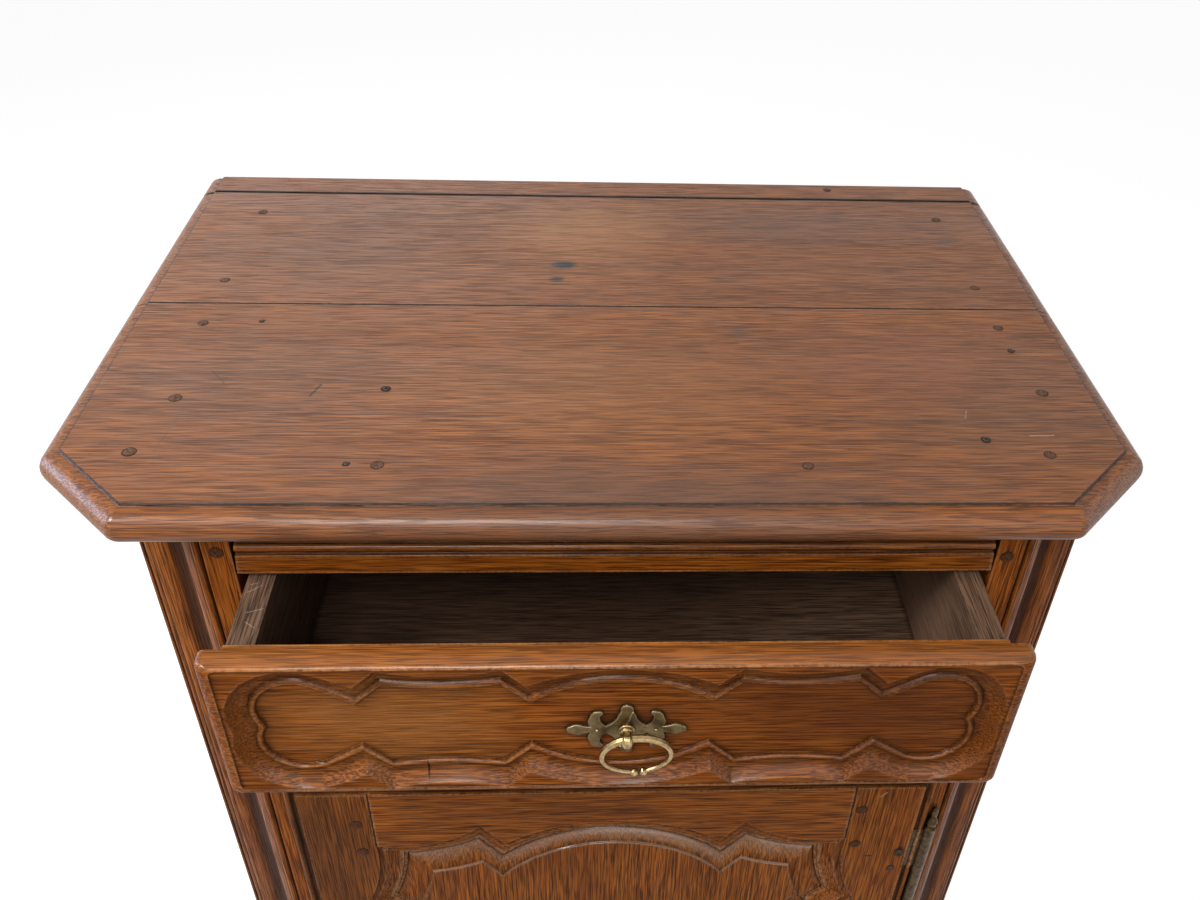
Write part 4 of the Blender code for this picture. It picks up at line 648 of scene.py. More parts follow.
class SoftEdges:
    """Welds, rounds and shades a solid's edges by modifiers, so that its own mesh stays as it is."""

    SMOOTH = math.radians(36)
    CORNER = math.radians(38)
    LEVEL = math.radians(0.4)
    TOUCHING = 2e-5
    FACETS = 2
    SPLIT_FROM = 5

    @classmethod
    def shading(cls) -> bpy.types.NodeTree:
        """The tree that shades gentle edges round and keeps the others sharp, built on first use.

        Returns:
            The geometry node group.
        """
        made = bpy.data.node_groups.get("round_shading")
        if made:
            return made
        made = bpy.data.node_groups.new("round_shading", "GeometryNodeTree")
        made.interface.new_socket("Geometry", in_out="INPUT", socket_type="NodeSocketGeometry")
        made.interface.new_socket("Geometry", in_out="OUTPUT", socket_type="NodeSocketGeometry")
        w = Wiring(made)
        solid = w.add("NodeGroupInput").outputs[0]
        angle = w.add("GeometryNodeInputMeshEdgeAngle").outputs["Unsigned Angle"]
        gentle = w.add("FunctionNodeCompare", (angle, cls.SMOOTH), data_type="FLOAT", operation="LESS_THAN")
        faces = w.add("GeometryNodeSetShadeSmooth", {"Geometry": solid}, domain="FACE")
        given = {"Geometry": faces.outputs[0], "Shade Smooth": gentle.outputs[0]}
        w.add("NodeGroupOutput", (w.add("GeometryNodeSetShadeSmooth", given, domain="EDGE").outputs[0],))
        return made

    @classmethod
    def give(cls, obj: bpy.types.Object, arris: float) -> None:
        """Gives an object rounded arrises and round shading.

        Args:
            obj: the object.
            arris: how far an edge is taken off, or 0 to leave it.
        """
        for name in ("custom_normal", "sharp_face", "sharp_edge"):
            kept = obj.data.attributes.get(name)
            if kept:
                obj.data.attributes.remove(kept)
        steps: list[tuple[str, str, dict[str, Any]]] = [("weld", "WELD", {"merge_threshold": cls.TOUCHING})]
        if arris:
            steps += [("flat", "DECIMATE", {"decimate_type": "DISSOLVE", "angle_limit": cls.LEVEL}),
                      ("arris", "BEVEL", {"width": arris, "segments": cls.FACETS, "limit_method": "ANGLE",
                                          "angle_limit": cls.CORNER, "use_clamp_overlap": False,
                                          "miter_outer": "MITER_SHARP"})]
        steps += [("split", "TRIANGULATE", {"min_vertices": cls.SPLIT_FROM}),
                  ("shade", "NODES", {"node_group": cls.shading()}),
                  ("facing", "WEIGHTED_NORMAL", {"keep_sharp": True})]
        for name, kind, settings in steps:
            made = obj.modifiers.new(name, kind)
            for key, value in settings.items():
                setattr(made, key, value)


class Heads:
    """Builds the heads of pegs, nails, pins and screws in one mesh."""

    def __init__(self, seed: int) -> None:
        """Starts an empty mesh with its own chance."""
        self.bm = bmesh.new()
        self.chance = random.Random(seed)

    def lathe(self, at: Matrix, rings: list[tuple[float, float]], sides: int, ragged: float,
              kind: int = 0, turn: float = 0.0) -> None:
        """Adds a closed head from rings of (radius, height), the first and last of which are capped.

        Args:
            at: where it stands.
            rings: its rings from the bottom up.
            sides: corners of a ring.
            ragged: share by which a corner may stray.
            kind: which material it takes.
            turn: how far the first corner is turned.
        """
        stray = [1 + self.chance.uniform(-ragged, ragged) for _ in range(sides)]
        loops = []
        for radius, height in rings:
            loop = []
            for i, share in enumerate(stray):
                angle = turn + math.tau * i / sides
                spot = Vector((radius * share * math.cos(angle), radius * share * math.sin(angle), height))
                loop.append(self.bm.verts.new(at @ spot))
            loops.append(loop)
        self.close(loops, kind)

    def close(self, loops: list[list[bmesh.types.BMVert]], kind: int) -> None:
        """Closes a stack of rings with walls, a base and a lid.

        Args:
            loops: the rings' corners from the bottom up.
            kind: which material it takes.
        """
        for low, high in zip(loops, loops[1:]):
            for i in range(len(low)):
                j = (i + 1) % len(low)
                self.face((low[i], low[j], high[j], high[i]), kind)
        self.face(tuple(reversed(loops[0])), kind)
        self.face(tuple(loops[-1]), kind)

    def face(self, corners: tuple[bmesh.types.BMVert, ...], kind: int) -> None:
        """Adds one face of a material."""
        self.bm.faces.new(corners).material_index = kind

    def peg(self, at: Matrix, radius: float) -> None:
        """Adds a wooden peg: a whittled plug a little proud, in a dark ring of waxy grime and painted gap
        shade.

        Args:
            at: where it stands.
            radius: half its width.
        """
        rise = self.chance.uniform(0.0002, 0.0006)
        self.lathe(at, [(radius * 1.16, -0.0012), (radius * 1.14, 0.00004), (radius * 1.02, 0.0001),
                        (radius * 0.98, -0.0002)], 14, 0.03, kind=1)
        lean = Matrix.Rotation(self.chance.uniform(-0.05, 0.05), 4, "X")
        tilt = Matrix.Rotation(self.chance.uniform(-0.05, 0.05), 4, "Y")
        self.lathe(at @ lean @ tilt, [(radius, -0.003), (radius, rise * 0.4), (radius * 0.9, rise * 0.85),
                                      (radius * 0.55, rise)], 11, 0.07, turn=self.chance.uniform(0, 3))

    def nail(self, at: Matrix, radius: float) -> None:
        """Adds a hand-forged nail head: hammered facets that rise to a blunt tip, in a dark ring of staining
        and painted hollow shade.

        Args:
            at: where it stands.
            radius: half its width.
        """
        self.lathe(at, [(radius * 1.5, -0.001), (radius * 1.45, 0.00003), (radius, 0.0001)], 12, 0.10, kind=1)
        self.lathe(at, [(radius, -0.002), (radius, radius * 0.16), (radius * 0.72, radius * 0.34),
                        (radius * 0.16, radius * 0.50)], 8, 0.13, turn=self.chance.uniform(0, 3))

    def pin(self, at: Matrix, radius: float) -> None:
        """Adds a small domed pin.

        Args:
            at: where it stands.
            radius: half its width.
        """
        dome = [(radius * math.cos(a), radius * 0.8 * math.sin(a))
                for a in (0, 0.35, 0.7, 1.05, 1.35)]
        self.lathe(at, [(radius, -0.002), *dome], 16, 0.015)

    def screw(self, at: Matrix, radius: float) -> None:
        """Adds a slotted screw head: a dished base in the dark second material, a painted shade in the slot,
        and two half moons either side of the slot.

        Args:
            at: where it stands.
            radius: half its width.
        """
        self.lathe(at, [(radius * 0.94, -0.002), (radius * 0.94, radius * 0.10)], 20, 0.0, kind=1)
        turned = at @ Matrix.Rotation(self.chance.uniform(0, math.pi), 4, "Z")
        slot = radius * 0.13
        start = math.asin(slot / radius)
        for flip in (0.0, math.pi):
            half = turned @ Matrix.Rotation(flip, 4, "Z")
            arc = [start + (math.pi - 2 * start) * i / 10 for i in range(11)]
            loops = []
            for share, height in ((1.0, 0.0), (1.0, 0.22), (0.90, 0.36)):
                loop = [Vector((radius * share * math.cos(a), max(slot, radius * share * math.sin(a)),
                                radius * height)) for a in arc]
                loops.append([self.bm.verts.new(half @ spot) for spot in loop])
            self.close(loops, 0)

    def done(self, name: str, body: Body, materials: list[bpy.types.Material]) -> None:
        """Turns the mesh into a piece that rides on a body.

        Args:
            name: the piece's name.
            body: the body it rides on.
            materials: its materials in order.
        """
        bmesh.ops.recalc_face_normals(self.bm, faces=self.bm.faces)
        mesh = bpy.data.meshes.new(name)
        self.bm.to_mesh(mesh)
        self.bm.free()
        for material in materials:
            mesh.materials.append(material)
        obj = bpy.data.objects.new(name, mesh)
        bpy.context.scene.collection.objects.link(obj)
        SoftEdges.give(obj, 0.0)
        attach(obj, body.value)
        log.info("%s: %d faces, on the %s", name, len(mesh.polygons), body.value)


@dataclass(frozen=True)
class Board:
    """How one wooden node is dressed."""

    node: str
    grain: Grain
    finish: OakFinish
    arris: float = 0.0010
    marks: tuple[Any, ...] = ()


@dataclass(frozen=True)
class Fitting:
    """How one metal node is dressed."""

    node: str
    finish: MetalFinish
    arris: float = 0.0003


def pair(name: str) -> tuple[str, str]:
    """The left and right nodes of a name."""
    return name + "_left", name + "_right"


class Assembly:
    """A part of the cupboard: dresses its nodes and adds the small pieces they carry."""

    def boards(self) -> list[Board]:
        """The wooden nodes."""
        return []

    def fittings(self) -> list[Fitting]:
        """The metal nodes."""
        return []

    def fasteners(self) -> None:
        """Adds pegs, nails, pins and screws."""

    def dress(self) -> None:
        """Gives every node its material and rounded arrises, and adds the fasteners."""
        for board in self.boards():
            obj = frame["nodes"][board.node]
            seed = sum(ord(letter) * (i + 3) for i, letter in enumerate(board.node))
            self.clad(obj, board.finish.material(board.node, board.grain, seed, board.marks))
            SoftEdges.give(obj, board.arris)
            log.info("%s: %s, grain %s", board.node, board.finish.label, board.grain.name.lower())
        for fitting in self.fittings():
            obj = frame["nodes"][fitting.node]
            self.clad(obj, fitting.finish.material(fitting.node))
            SoftEdges.give(obj, fitting.arris)
            log.info("%s: %s", fitting.node, fitting.finish.label)
        self.fasteners()

    @staticmethod
    def clad(obj: bpy.types.Object, material: bpy.types.Material) -> None:
        """Puts a material in an object's only slot."""
        obj.data.materials.clear()
        obj.data.materials.append(material)


def wax_and_gap_shade() -> bpy.types.Material:
    """The dark waxy grime and painted gap shade round pegs and nail heads and in screw slots, built on first
    use.

    Returns:
        The material.
    """
    made = bpy.data.materials.get("wax_and_gap_shade")
    if made:
        return made
    made, w, shader = new_material("wax_and_gap_shade")
    place = w.add("ShaderNodeTexCoord").outputs["Object"]
    grime = w.noise(place, 420.0, 3.0)["Fac"]
    colour = w.blend(grime, (0.018, 0.008, 0.004), (0.085, 0.036, 0.016))
    w.fill(shader, {"Base Color": colour, "Roughness": 0.6, "Specular IOR Level": 0.1})
    return made


@dataclass
class Top(Assembly):
    """The top: two boards and a narrow strip behind the shrinkage gap, pegged to the case."""

    level: float = 1.050
    cant: float = 0.0664
    side_quirk: float = 0.0015
    quirk: float = 0.0022
    gap: float = 0.0060
    pegs: tuple[Point, ...] = (
        (-0.3614, 0.4767, 0.0044), (-0.3646, 0.3263, 0.0042), (-0.3645, 0.2454, 0.0044),
        (-0.3559, 0.1249, 0.0050), (-0.3703, 0.0510, 0.0052), (-0.1775, 0.0348, 0.0048),
        (0.2636, 0.5535, 0.0040), (0.3730, 0.4784, 0.0044), (0.3744, 0.3248, 0.0042),
        (0.3752, 0.2474, 0.0044), (0.3822, 0.1381, 0.0048), (0.3597, 0.0489, 0.0046),
        (0.1594, 0.0341, 0.0042))
    nails: tuple[Point, ...] = (
        (-0.3125, 0.2498, 0.0020), (-0.2014, 0.0361, 0.0022), (-0.1849, 0.1397, 0.0030),
        (0.3754, 0.2066, 0.0026), (0.3127, 0.0691, 0.0032))

    def on(self, x: float, depth: float) -> Point:
        """A point of the upper face, so far behind the case's front."""
        return (x, CASE_FRONT + depth, self.level)

    def soft_patch(self, x: float, depth: float, wide: float, deep: float, colour: Colour, strength: float,
              edge: float = 0.6) -> SoftPatch:
        """A soft patch on the upper face that goes through the board's thickness."""
        return SoftPatch(self.on(x, depth), (wide, deep, 0.2), colour, strength, edge)

    def scratch(self, start: tuple[float, float], end: tuple[float, float], *look: Any) -> LineMark:
        """A scratch on the upper face with its width, colour and strength."""
        return LineMark(self.on(*start), self.on(*end), *look)

    def lines(self, width: float, *points: tuple[float, float]) -> tuple[LineMark, ...]:
        """Dark lines on the upper face from point to point: waxy grime and painted shade in quirks and in the
        shrinkage gap, and dark joints.
        """
        ends = [self.on(*point) for point in points]
        return tuple(LineMark(a, b, width, (0.014, 0.006, 0.003), 0.92) for a, b in zip(ends, ends[1:]))

    def boards(self) -> list[Board]:
        """The three boards and their marks.

        Returns:
            How each board is dressed.
        """
        left, right, near, far = -0.4250, 0.4250, -0.0124, 0.56
        corner, inset = near + self.cant, self.cant
        # quirks are drawn as dark lines of waxy grime and painted shade
        sides = (self.lines(self.side_quirk, (left, corner), (left, far))
                 + self.lines(self.side_quirk, (right, corner), (right, far)))
        quirk = self.lines(self.quirk, (left, corner), (left + inset, near), (right - inset, near),
                           (right, corner))
        joint = self.lines(self.quirk, (-0.44, 0.2818), (0.44, 0.2818))
        # the shrinkage gap is drawn as a wide dark line of painted shade and grime
        gap = self.lines(self.gap, (-0.44, 0.5270), (0.44, 0.5270))
        ink, honey = (0.010, 0.010, 0.011), (0.46, 0.21, 0.075)
        grey_brown, russet = (0.12, 0.062, 0.040), (0.30, 0.095, 0.036)
        rear_marks = (
            self.soft_patch(-0.010, 0.4402, 0.13, 0.095, honey, 0.45, 0.8),
            self.soft_patch(-0.26, 0.4052, 0.20, 0.16, grey_brown, 0.35, 0.9),
            self.soft_patch(0.20, 0.4552, 0.16, 0.07, grey_brown, 0.40, 0.9),
            self.soft_patch(-0.0374, 0.3641, 0.0170, 0.0100, ink, 1.0, 0.6),
            self.soft_patch(-0.0439, 0.3348, 0.0110, 0.0080, ink, 0.9, 0.7),
            self.soft_patch(0.1242, 0.3332, 0.0200, 0.0040, ink, 0.55, 0.8),
            self.soft_patch(0.3700, 0.4252, 0.0180, 0.0120, grey_brown, 0.65, 0.7))
        front_marks = (
            self.soft_patch(-0.30, 0.1652, 0.20, 0.17, grey_brown, 0.30, 0.9),
            self.soft_patch(0.00, 0.1452, 0.26, 0.10, honey, 0.22, 0.9),
            # darker towards the near edge
            self.soft_patch(0.02, -0.0100, 0.40, 0.08, grey_brown, 0.60, 0.9),
            # darker towards the right end
            self.soft_patch(0.33, 0.1000, 0.16, 0.11, grey_brown, 0.35, 0.9),
            self.soft_patch(0.27, 0.1852, 0.17, 0.09, russet, 0.40, 0.9),
            self.soft_patch(0.127, 0.2372, 0.012, 0.018, grey_brown, 0.5, 0.8),
            self.scratch((-0.3447, 0.1096), (-0.3518, 0.0513), 0.0008, grey_brown, 0.7),
            self.scratch((-0.2464, 0.1290), (-0.2402, 0.1463), 0.0017, ink, 0.8),
            self.scratch((-0.3362, 0.1659), (-0.3216, 0.1476), 0.0010, ink, 0.5),
            self.scratch((0.3514, 0.0748), (0.3719, 0.0756), 0.0009, (0.55, 0.33, 0.20), 0.8),
            self.scratch((0.3071, 0.1104), (0.3031, 0.0987), 0.0008, (0.50, 0.30, 0.18), 0.6))
        return [Board("top_front_board", Grain.ACROSS, TOP_OAK, 0.0007, front_marks + quirk + sides + joint),
                Board("top_back_board", Grain.ACROSS, TOP_OAK, 0.0007, rear_marks + sides + joint + gap),
                Board("top_rear_strip", Grain.ACROSS, TOP_OAK, 0.0010, sides + gap)]

    def fasteners(self) -> None:
        """The pegs and nails seen on the upper face."""
        heads = Heads(11)
        for x, depth, radius in self.pegs:
            heads.peg(Facing.UP.at(self.on(x, depth)), radius)
        wood = TOP_PEG_OAK.material("top_pegs", Grain.UPRIGHT, 5)
        heads.done("top_pegs", Body.CASE, [wood, wax_and_gap_shade()])
        heads = Heads(12)
        for x, depth, radius in self.nails:
            heads.nail(Facing.UP.at(self.on(x, depth)), radius)
        heads.done("top_nails", Body.CASE, [DARK_IRON.material("top_nails"), wax_and_gap_shade()])


@dataclass
class Carcase(Assembly):
    """Posts, rails, sides, back, floor and shelf, with the ways that the drawer runs on."""

    front: float = CASE_FRONT
    left: float = -0.4004
    right: float = 0.4248
    board_back: float = CASE_FRONT + 0.5505
    back_rails: tuple[str, ...] = ("back_top_rail", "back_middle_rail", "back_bottom_rail")
    back_boards: tuple[int, ...] = (1, 2, 3, 4)
    coves: tuple[float, float] = (-0.3587, 0.3831)
    cove_depth: float = 0.0578
    cove_wide: float = 0.0165
    peg: float = 0.0048
    front_pegs: Spots = (
        (-0.3030, 0.9903), (0.3254, 0.9832), (-0.3030, 0.782), (0.3260, 0.780), (-0.3025, 0.734),
        (0.3258, 0.736), (-0.3030, 0.121), (0.3256, 0.122))
    side_pegs: Spots = (
        (0.1002, 1.004), (0.1002, 0.962), (0.5082, 1.003), (0.5082, 0.962),
        (0.1002, 0.152), (0.0997, 0.110), (0.5082, 0.153), (0.5082, 0.111))
    nail: float = 0.0030

    def boards(self) -> list[Board]:
        """The case's wooden nodes.

        Returns:
            How each is dressed.
        """
        # the posts' coves are darkened with waxy grime and painted shade
        across, cove_wax_shade = (self.cove_wide, self.cove_wide, 4.0), (0.040, 0.011, 0.002)
        wax_shade = {name: (SoftPatch((x, self.front + self.cove_depth, 0.5), across, cove_wax_shade, 0.93, 0.8),)
               for name, x in zip(pair("front_post"), self.coves)}
        listed = []
        for names, grain, finish, arris in (
                (("front_top_rail", "drawer_rail", "front_bottom_rail"), Grain.ACROSS, FRONT_OAK, 0.0008),
                (pair("rear_post"), Grain.UPRIGHT, FRONT_OAK, 0.0018),
                (pair("side_top_rail") + pair("side_bottom_rail"), Grain.INWARDS, FRONT_OAK, 0.0010),
                (pair("side_panel"), Grain.UPRIGHT, FRONT_OAK, 0.0006),
                (pair("floor_cleat") + pair("shelf_cleat") + pair("drawer_runner") + pair("drawer_guide")
                 + pair("drawer_kicker"), Grain.INWARDS, RAW_OAK, 0.0012),
                (pair("front_post"), Grain.UPRIGHT, POST_OAK, 0.0005),
                (self.back_rails + ("floor_board_front", "floor_board_back", "inner_shelf"),
                 Grain.ACROSS, RAW_OAK, 0.0012),
                ([f"back_board_{i}" for i in self.back_boards], Grain.UPRIGHT, RAW_OAK, 0.0009)):
            listed += [Board(name, grain, finish, arris, wax_shade.get(name, ())) for name in names]
        return listed

    def fasteners(self) -> None:
        """Pegs through the posts' joints and nails through the back boards."""
        heads = Heads(21)
        for x, z in self.front_pegs:
            heads.peg(Facing.FRONT.at((x, self.front, z)), self.peg)
        wood = PEG_OAK.material("post_pegs", Grain.INWARDS, 9)
        heads.done("post_pegs", Body.CASE, [wood, wax_and_gap_shade()])
        for label, facing, x in (("left", Facing.LEFT, self.left), ("right", Facing.RIGHT, self.right)):
            heads = Heads(22)
            for depth, z in self.side_pegs:
                heads.peg(facing.at((x, CASE_FRONT + depth, z)), self.peg)
            wood = PEG_OAK.material("side_pegs_" + label, Grain.ACROSS, 13)
            heads.done("side_pegs_" + label, Body.CASE, [wood, wax_and_gap_shade()])
        heads = Heads(23)
        for rail in self.back_rails:
            low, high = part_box(rail)
            for i in self.back_boards:
                first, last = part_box(f"back_board_{i}")
                for share in (0.16, 0.84):
                    x = first[0] + (last[0] - first[0]) * share + heads.chance.uniform(-0.006, 0.006)
                    z = (low[2] + high[2]) / 2 + heads.chance.uniform(-0.012, 0.012)
                    heads.nail(Facing.BACK.at((x, self.board_back, z)), self.nail)
        heads.done("back_board_nails", Body.CASE,
                   [DARK_IRON.material("back_board_nails"), wax_and_gap_shade()])


@dataclass
class Drawer(Assembly):
    """The drawer: its carved front, thick raw sides, back and bottom, and the handle."""

    plate_face: float = CASE_FRONT - 0.0884
    pins: Spots = ((-0.0071, 0.8800), (0.0399, 0.8800))
    pin: float = 0.0014
    field: float = CASE_FRONT - 0.0959
    side: float = -0.277
    rim: float = 0.9618

    def boards(self) -> list[Board]:
        """The drawer's wooden nodes.

        Returns:
            How each is dressed.
        """
        honey, umber = (0.42, 0.19, 0.060), (0.085, 0.020, 0.003)
        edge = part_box("drawer_front")[1][2]
        front_marks = (
            # painted light: the front's top edge is paled
            SoftPatch((0.0, self.field, edge), (0.6, 0.2, 0.006), (0.62, 0.25, 0.07), 0.12, 0.5),
            # left half paler and right half darker: partly the wood's own tone, partly painted light and
            # shade falling off from the left
            SoftPatch((-0.17, self.field, 0.888), (0.15, 0.2, 0.075), honey, 0.35, 0.9),
            SoftPatch((0.21, self.field, 0.888), (0.20, 0.2, 0.10), umber, 0.65, 0.9),
            SoftPatch((0.0164, self.field, 0.884), (0.062, 0.2, 0.036), (0.026, 0.009, 0.003), 0.75, 0.85),
            SoftPatch((-0.1425, self.field, 0.836), (0.0013, 0.05, 0.0125), (0.010, 0.004, 0.002), 0.95, 0.5))
        # painted light: the inside face of the right side is paled
        painted_light_right = SoftPatch((0.285, CASE_FRONT + 0.10, 0.90), (0.05, 0.20, 0.10), (0.34, 0.20, 0.13), 0.6, 0.8)
        # painted shade: the back and bottom inside the drawer are darkened
        inside_shade = SoftPatch((-0.10, CASE_FRONT + 0.15, 0.88), (0.34, 0.5, 0.20), (0.028, 0.012, 0.006), 0.6, 0.5)
        pale = (0.40, 0.33, 0.28)
        side_marks = tuple(
            LineMark((self.side + a, CASE_FRONT + out, self.rim),
                    (self.side + b, CASE_FRONT + out + c, self.rim), 0.0007, pale, 0.55)
            for a, b, out, c in ((0.0, 0.012, -0.0368, 0.004), (0.002, 0.010, -0.0468, -0.006),
                                 (-0.004, 0.006, -0.0148, 0.008), (-0.003, 0.003, -0.0058, 0.002)))
        listed = [Board("drawer_front", Grain.ACROSS, FRONT_OAK, 0.0005, front_marks),
                  Board("drawer_side_left", Grain.INWARDS, RAW_OAK, 0.0014, side_marks),
                  Board("drawer_side_right", Grain.INWARDS, RAW_OAK, 0.0014, (painted_light_right,))]
        return listed + [Board(name, Grain.ACROSS, RAW_OAK, 0.0010, (inside_shade,))
                         for name in ("drawer_back", "drawer_bottom")]

    def fittings(self) -> list[Fitting]:
        """The handle and its nut."""
        return [Fitting("handle_backplate", PLATE_BRASS), Fitting("handle_post", PALE_BRASS),
                Fitting("handle_bail", PALE_BRASS, 0.0), Fitting("handle_nut", DARK_IRON, 0.0005)]

    def fasteners(self) -> None:
        """The two pins that hold the handle's plate."""
        heads = Heads(31)
        for x, z in self.pins:
            heads.pin(Facing.FRONT.at((x, self.plate_face, z)), self.pin)
        heads.done("plate_pins", Body.DRAWER, [PALE_BRASS.material("plate_pins")])


@dataclass
class Door(Assembly):
    """The framed door with its raised panel, hinges, lock and key."""

    face: float = CASE_FRONT - 0.0120
    pegs: Spots = (
        (-0.2358, 0.6479), (-0.2345, 0.6027), (0.2546, 0.6593), (0.2564, 0.6019),
        (-0.2350, 0.2490), (-0.2362, 0.2040), (0.2556, 0.2500), (0.2550, 0.1935))
    nails: Spots = (
        (0.3042, 0.5864), (0.2999, 0.5577), (0.3030, 0.2656), (0.3005, 0.2943))
    peg: float = 0.0050
    nail: float = 0.0030
    escutcheon_face: float = CASE_FRONT - 0.0139
    escutcheon_pins: Spots = ((-0.2688, 0.4525), (-0.2688, 0.3995))
    pin: float = 0.0013
    lock_back: float = CASE_FRONT + 0.0313
    screw: float = 0.0036
    screw_inset: float = 0.008

    def boards(self) -> list[Board]:
        """The door's frame and panel.

        Returns:
            How each board is dressed.
        """
        hole = (0.010, 0.005, 0.003)
        shade = (SoftPatch((-0.265, self.face, 0.60), (0.075, 0.05, 0.16), (0.060, 0.020, 0.005), 0.55, 0.7),)
        stile_marks = (
            SoftPatch((0.2732, self.face, 0.5802), (0.006, 0.05, 0.0016), hole, 0.8, 0.6),
            SoftPatch((0.3042, self.face, 0.5864), (0.0065, 0.05, 0.012), hole, 0.95, 0.6),
            LineMark((0.2700, self.face, 0.6800), (0.2748, self.face, 0.6860), 0.0016,
                    (0.50, 0.26, 0.12), 0.7))
        joints = tuple(LineMark((x, self.face, low), (x, self.face, high), 0.0015, hole, 0.85)
                       for x in (-0.2205, 0.2449) for low, high in ((0.612, 0.706), (0.146, 0.240)))
        listed = [Board("door_stile_left", Grain.UPRIGHT, FRONT_OAK, 0.0004, shade + joints),
                  Board("door_stile_right", Grain.UPRIGHT, FRONT_OAK, 0.0004, stile_marks + joints)]
        listed += [Board(name, Grain.ACROSS, FRONT_OAK, 0.0004, joints)
                   for name in ("door_top_rail", "door_bottom_rail")]
        return listed + [Board("door_panel", Grain.UPRIGHT, PANEL_OAK, 0.0004)]

    def fittings(self) -> list[Fitting]:
        """Hinges, lock, key and escutcheon.

        Returns:
            How each is dressed.
        """
        hinges = [Fitting(f"{which}_hinge_{half}_half", DULL_BRASS)
                  for which in ("upper", "lower") for half in ("door", "post")]
        return hinges + [Fitting("lock_case", DARK_IRON, 0.0006), Fitting("lock_bolt", DARK_IRON, 0.0005),
                         Fitting("key", DARK_IRON), Fitting("escutcheon", PALE_BRASS, 0.0005)]

    def fasteners(self) -> None:
        """Pegs through the joints, nails of the hinge leaves, pins and screws of the lock."""
        heads = Heads(41)
        for x, z in self.pegs:
            heads.peg(Facing.FRONT.at((x, self.face, z)), self.peg)
        wood = PEG_OAK.material("door_pegs", Grain.INWARDS, 17)
        heads.done("door_pegs", Body.DOOR, [wood, wax_and_gap_shade()])
        heads = Heads(42)
        for x, z in self.nails:
            heads.nail(Facing.FRONT.at((x, self.face, z)), self.nail)
        heads.done("hinge_nails", Body.DOOR, [DARK_IRON.material("hinge_nails"), wax_and_gap_shade()])
        heads = Heads(43)
        for x, z in self.escutcheon_pins:
            heads.pin(Facing.FRONT.at((x, self.escutcheon_face, z)), self.pin)
        heads.done("escutcheon_pins", Body.DOOR, [PALE_BRASS.material("escutcheon_pins")])
        heads = Heads(44)
        low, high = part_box("lock_case")
        for x in (low[0] + self.screw_inset, high[0] - self.screw_inset):
            for z in (low[2] + self.screw_inset, high[2] - self.screw_inset):
                heads.screw(Facing.BACK.at((x, self.lock_back, z)), self.screw)
        iron = DARK_IRON.material("lock_screws")
        heads.done("lock_screws", Body.DOOR, [iron, wax_and_gap_shade()])


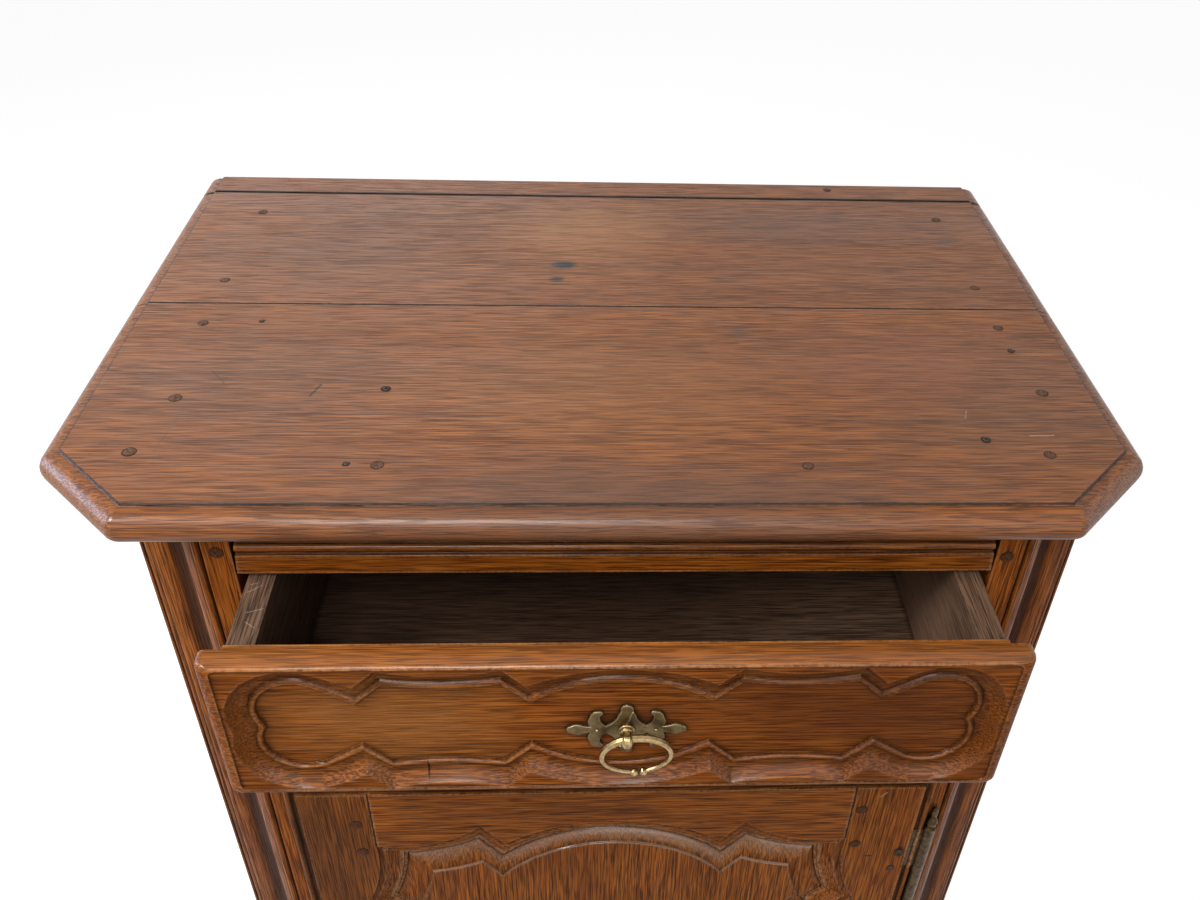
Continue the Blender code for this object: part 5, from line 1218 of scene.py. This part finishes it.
@dataclass
class Studio:
    """A plain pale floor, soft light and the photograph's camera."""

    eye: Point = (-0.0182, CASE_FRONT - 0.6598, 1.5911)
    right: Point = (0.99855679, -0.04173308, 0.0338037)
    up: Point = (-0.000594925, 0.620786574, 0.783979385)
    back: Point = (-0.05370276, -0.78286805, 0.61986582)
    sensor: float = 36.0
    near: float = 0.02
    lens: float = 33.713
    shift: tuple[float, float] = (-0.0362, 0.0201)
    floor_size: float = 14.0
    ambient: float = 0.16
    floor_tone: float = 0.30
    floor_glow: float = 0.91
    lamps: tuple[tuple[str, Point, Point, float, float, Colour], ...] = field(default_factory=lambda: (
        ("key", (-1.45, -0.85, 2.45), (0.0, -0.25, 0.9), 0.5, 29.0, (1.0, 0.97, 0.93)),
        ("overhead", (-0.35, -1.9, 2.75), (0.0, -0.25, 0.85), 1.0, 29.0, (1.0, 0.98, 0.95)),
        ("fill", (0.5, -2.6, 1.3), (0.0, -0.2, 0.8), 2.2, 13.0, (1.0, 0.97, 0.92)),
        ("window", (-2.3, 0.10, 1.50), (-0.35, -0.2, 1.0), 1.1, 20.0, (0.50, 0.72, 1.0)),
        ("rear", (-1.0, 2.6, 2.4), (0.0, 0.2, 0.6), 2.0, 12.0, (1.0, 1.0, 1.0))))

    def camera(self) -> None:
        """Places the camera where the photograph was taken."""
        made = bpy.data.objects.new("camera", bpy.data.cameras.new("camera"))
        made.data.sensor_width = self.sensor
        made.data.lens = self.lens
        made.data.shift_x, made.data.shift_y = self.shift
        made.data.clip_start = self.near
        turned = Matrix((self.right, self.up, self.back)).transposed().to_4x4()
        made.matrix_world = Matrix.Translation(self.eye) @ turned
        bpy.context.scene.collection.objects.link(made)
        bpy.context.scene.camera = made

    def light(self) -> None:
        """Hangs the soft lamps."""
        for name, place, target, size, power, colour in self.lamps:
            lamp = bpy.data.lights.new(name, "AREA")
            lamp.shape = "SQUARE"
            lamp.size = size
            lamp.energy = power
            lamp.color = colour
            obj = bpy.data.objects.new(name, lamp)
            aim = Vector(target) - Vector(place)
            obj.matrix_world = Matrix.Translation(place) @ aim.to_track_quat("-Z", "Y").to_matrix().to_4x4()
            bpy.context.scene.collection.objects.link(obj)

    @staticmethod
    def seen_as_white(w: Wiring) -> Socket:
        """One for camera, glossy and transmission rays, and zero for the rest.

        Args:
            w: the tree's wiring.

        Returns:
            The output that says so.
        """
        path = w.add("ShaderNodeLightPath").outputs
        either = w.maths("MAXIMUM", path["Is Camera Ray"], path["Is Glossy Ray"])
        return w.maths("MAXIMUM", either, path["Is Transmission Ray"])

    def world(self) -> None:
        """A white surround that lights the object only softly."""
        made = bpy.data.worlds.new("surround")
        made.use_nodes = True
        bpy.context.scene.world = made
        w = Wiring(made.node_tree)
        level = w.maths("MULTIPLY_ADD", self.seen_as_white(w), 1.0 - self.ambient, self.ambient)
        w.fill(made.node_tree.nodes["Background"], {"Color": WHITE, "Strength": level})

    def floor(self) -> None:
        """A pale floor that looks white and still takes the object's shadow."""
        bm = bmesh.new()
        bmesh.ops.create_grid(bm, x_segments=8, y_segments=8, size=self.floor_size)
        mesh = bpy.data.meshes.new("floor")
        bm.to_mesh(mesh)
        bm.free()
        material, w, shader = new_material("floor")
        glow = w.times(self.seen_as_white(w), self.floor_glow)
        w.fill(shader, {"Base Color": (self.floor_tone,) * 3, "Roughness": 0.9, "Specular IOR Level": 0.0,
                        "Emission Color": WHITE, "Emission Strength": glow})
        mesh.materials.append(material)
        obj = bpy.data.objects.new("floor", mesh)
        bpy.context.scene.collection.objects.link(obj)

    def build(self) -> None:
        """Sets up camera, light, surround and floor."""
        bpy.context.scene.view_settings.view_transform = "Standard"
        self.camera()
        self.light()
        self.world()
        self.floor()


def main() -> None:
    """Builds the cupboard's assemblies in order."""
    logging.basicConfig(level=logging.INFO, format="%(name)s: %(message)s")
    kept = set(frame["nodes"].values()) | set(frame["bodies"].values())
    for stale in [obj for obj in bpy.data.objects if obj not in kept]:
        bpy.data.objects.remove(stale, do_unlink=True)
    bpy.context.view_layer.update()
    for assembly in (Carcase(), Top(), Drawer(), Door()):
        assembly.dress()
    Studio().build()


if __name__ == "__main__":
    main()
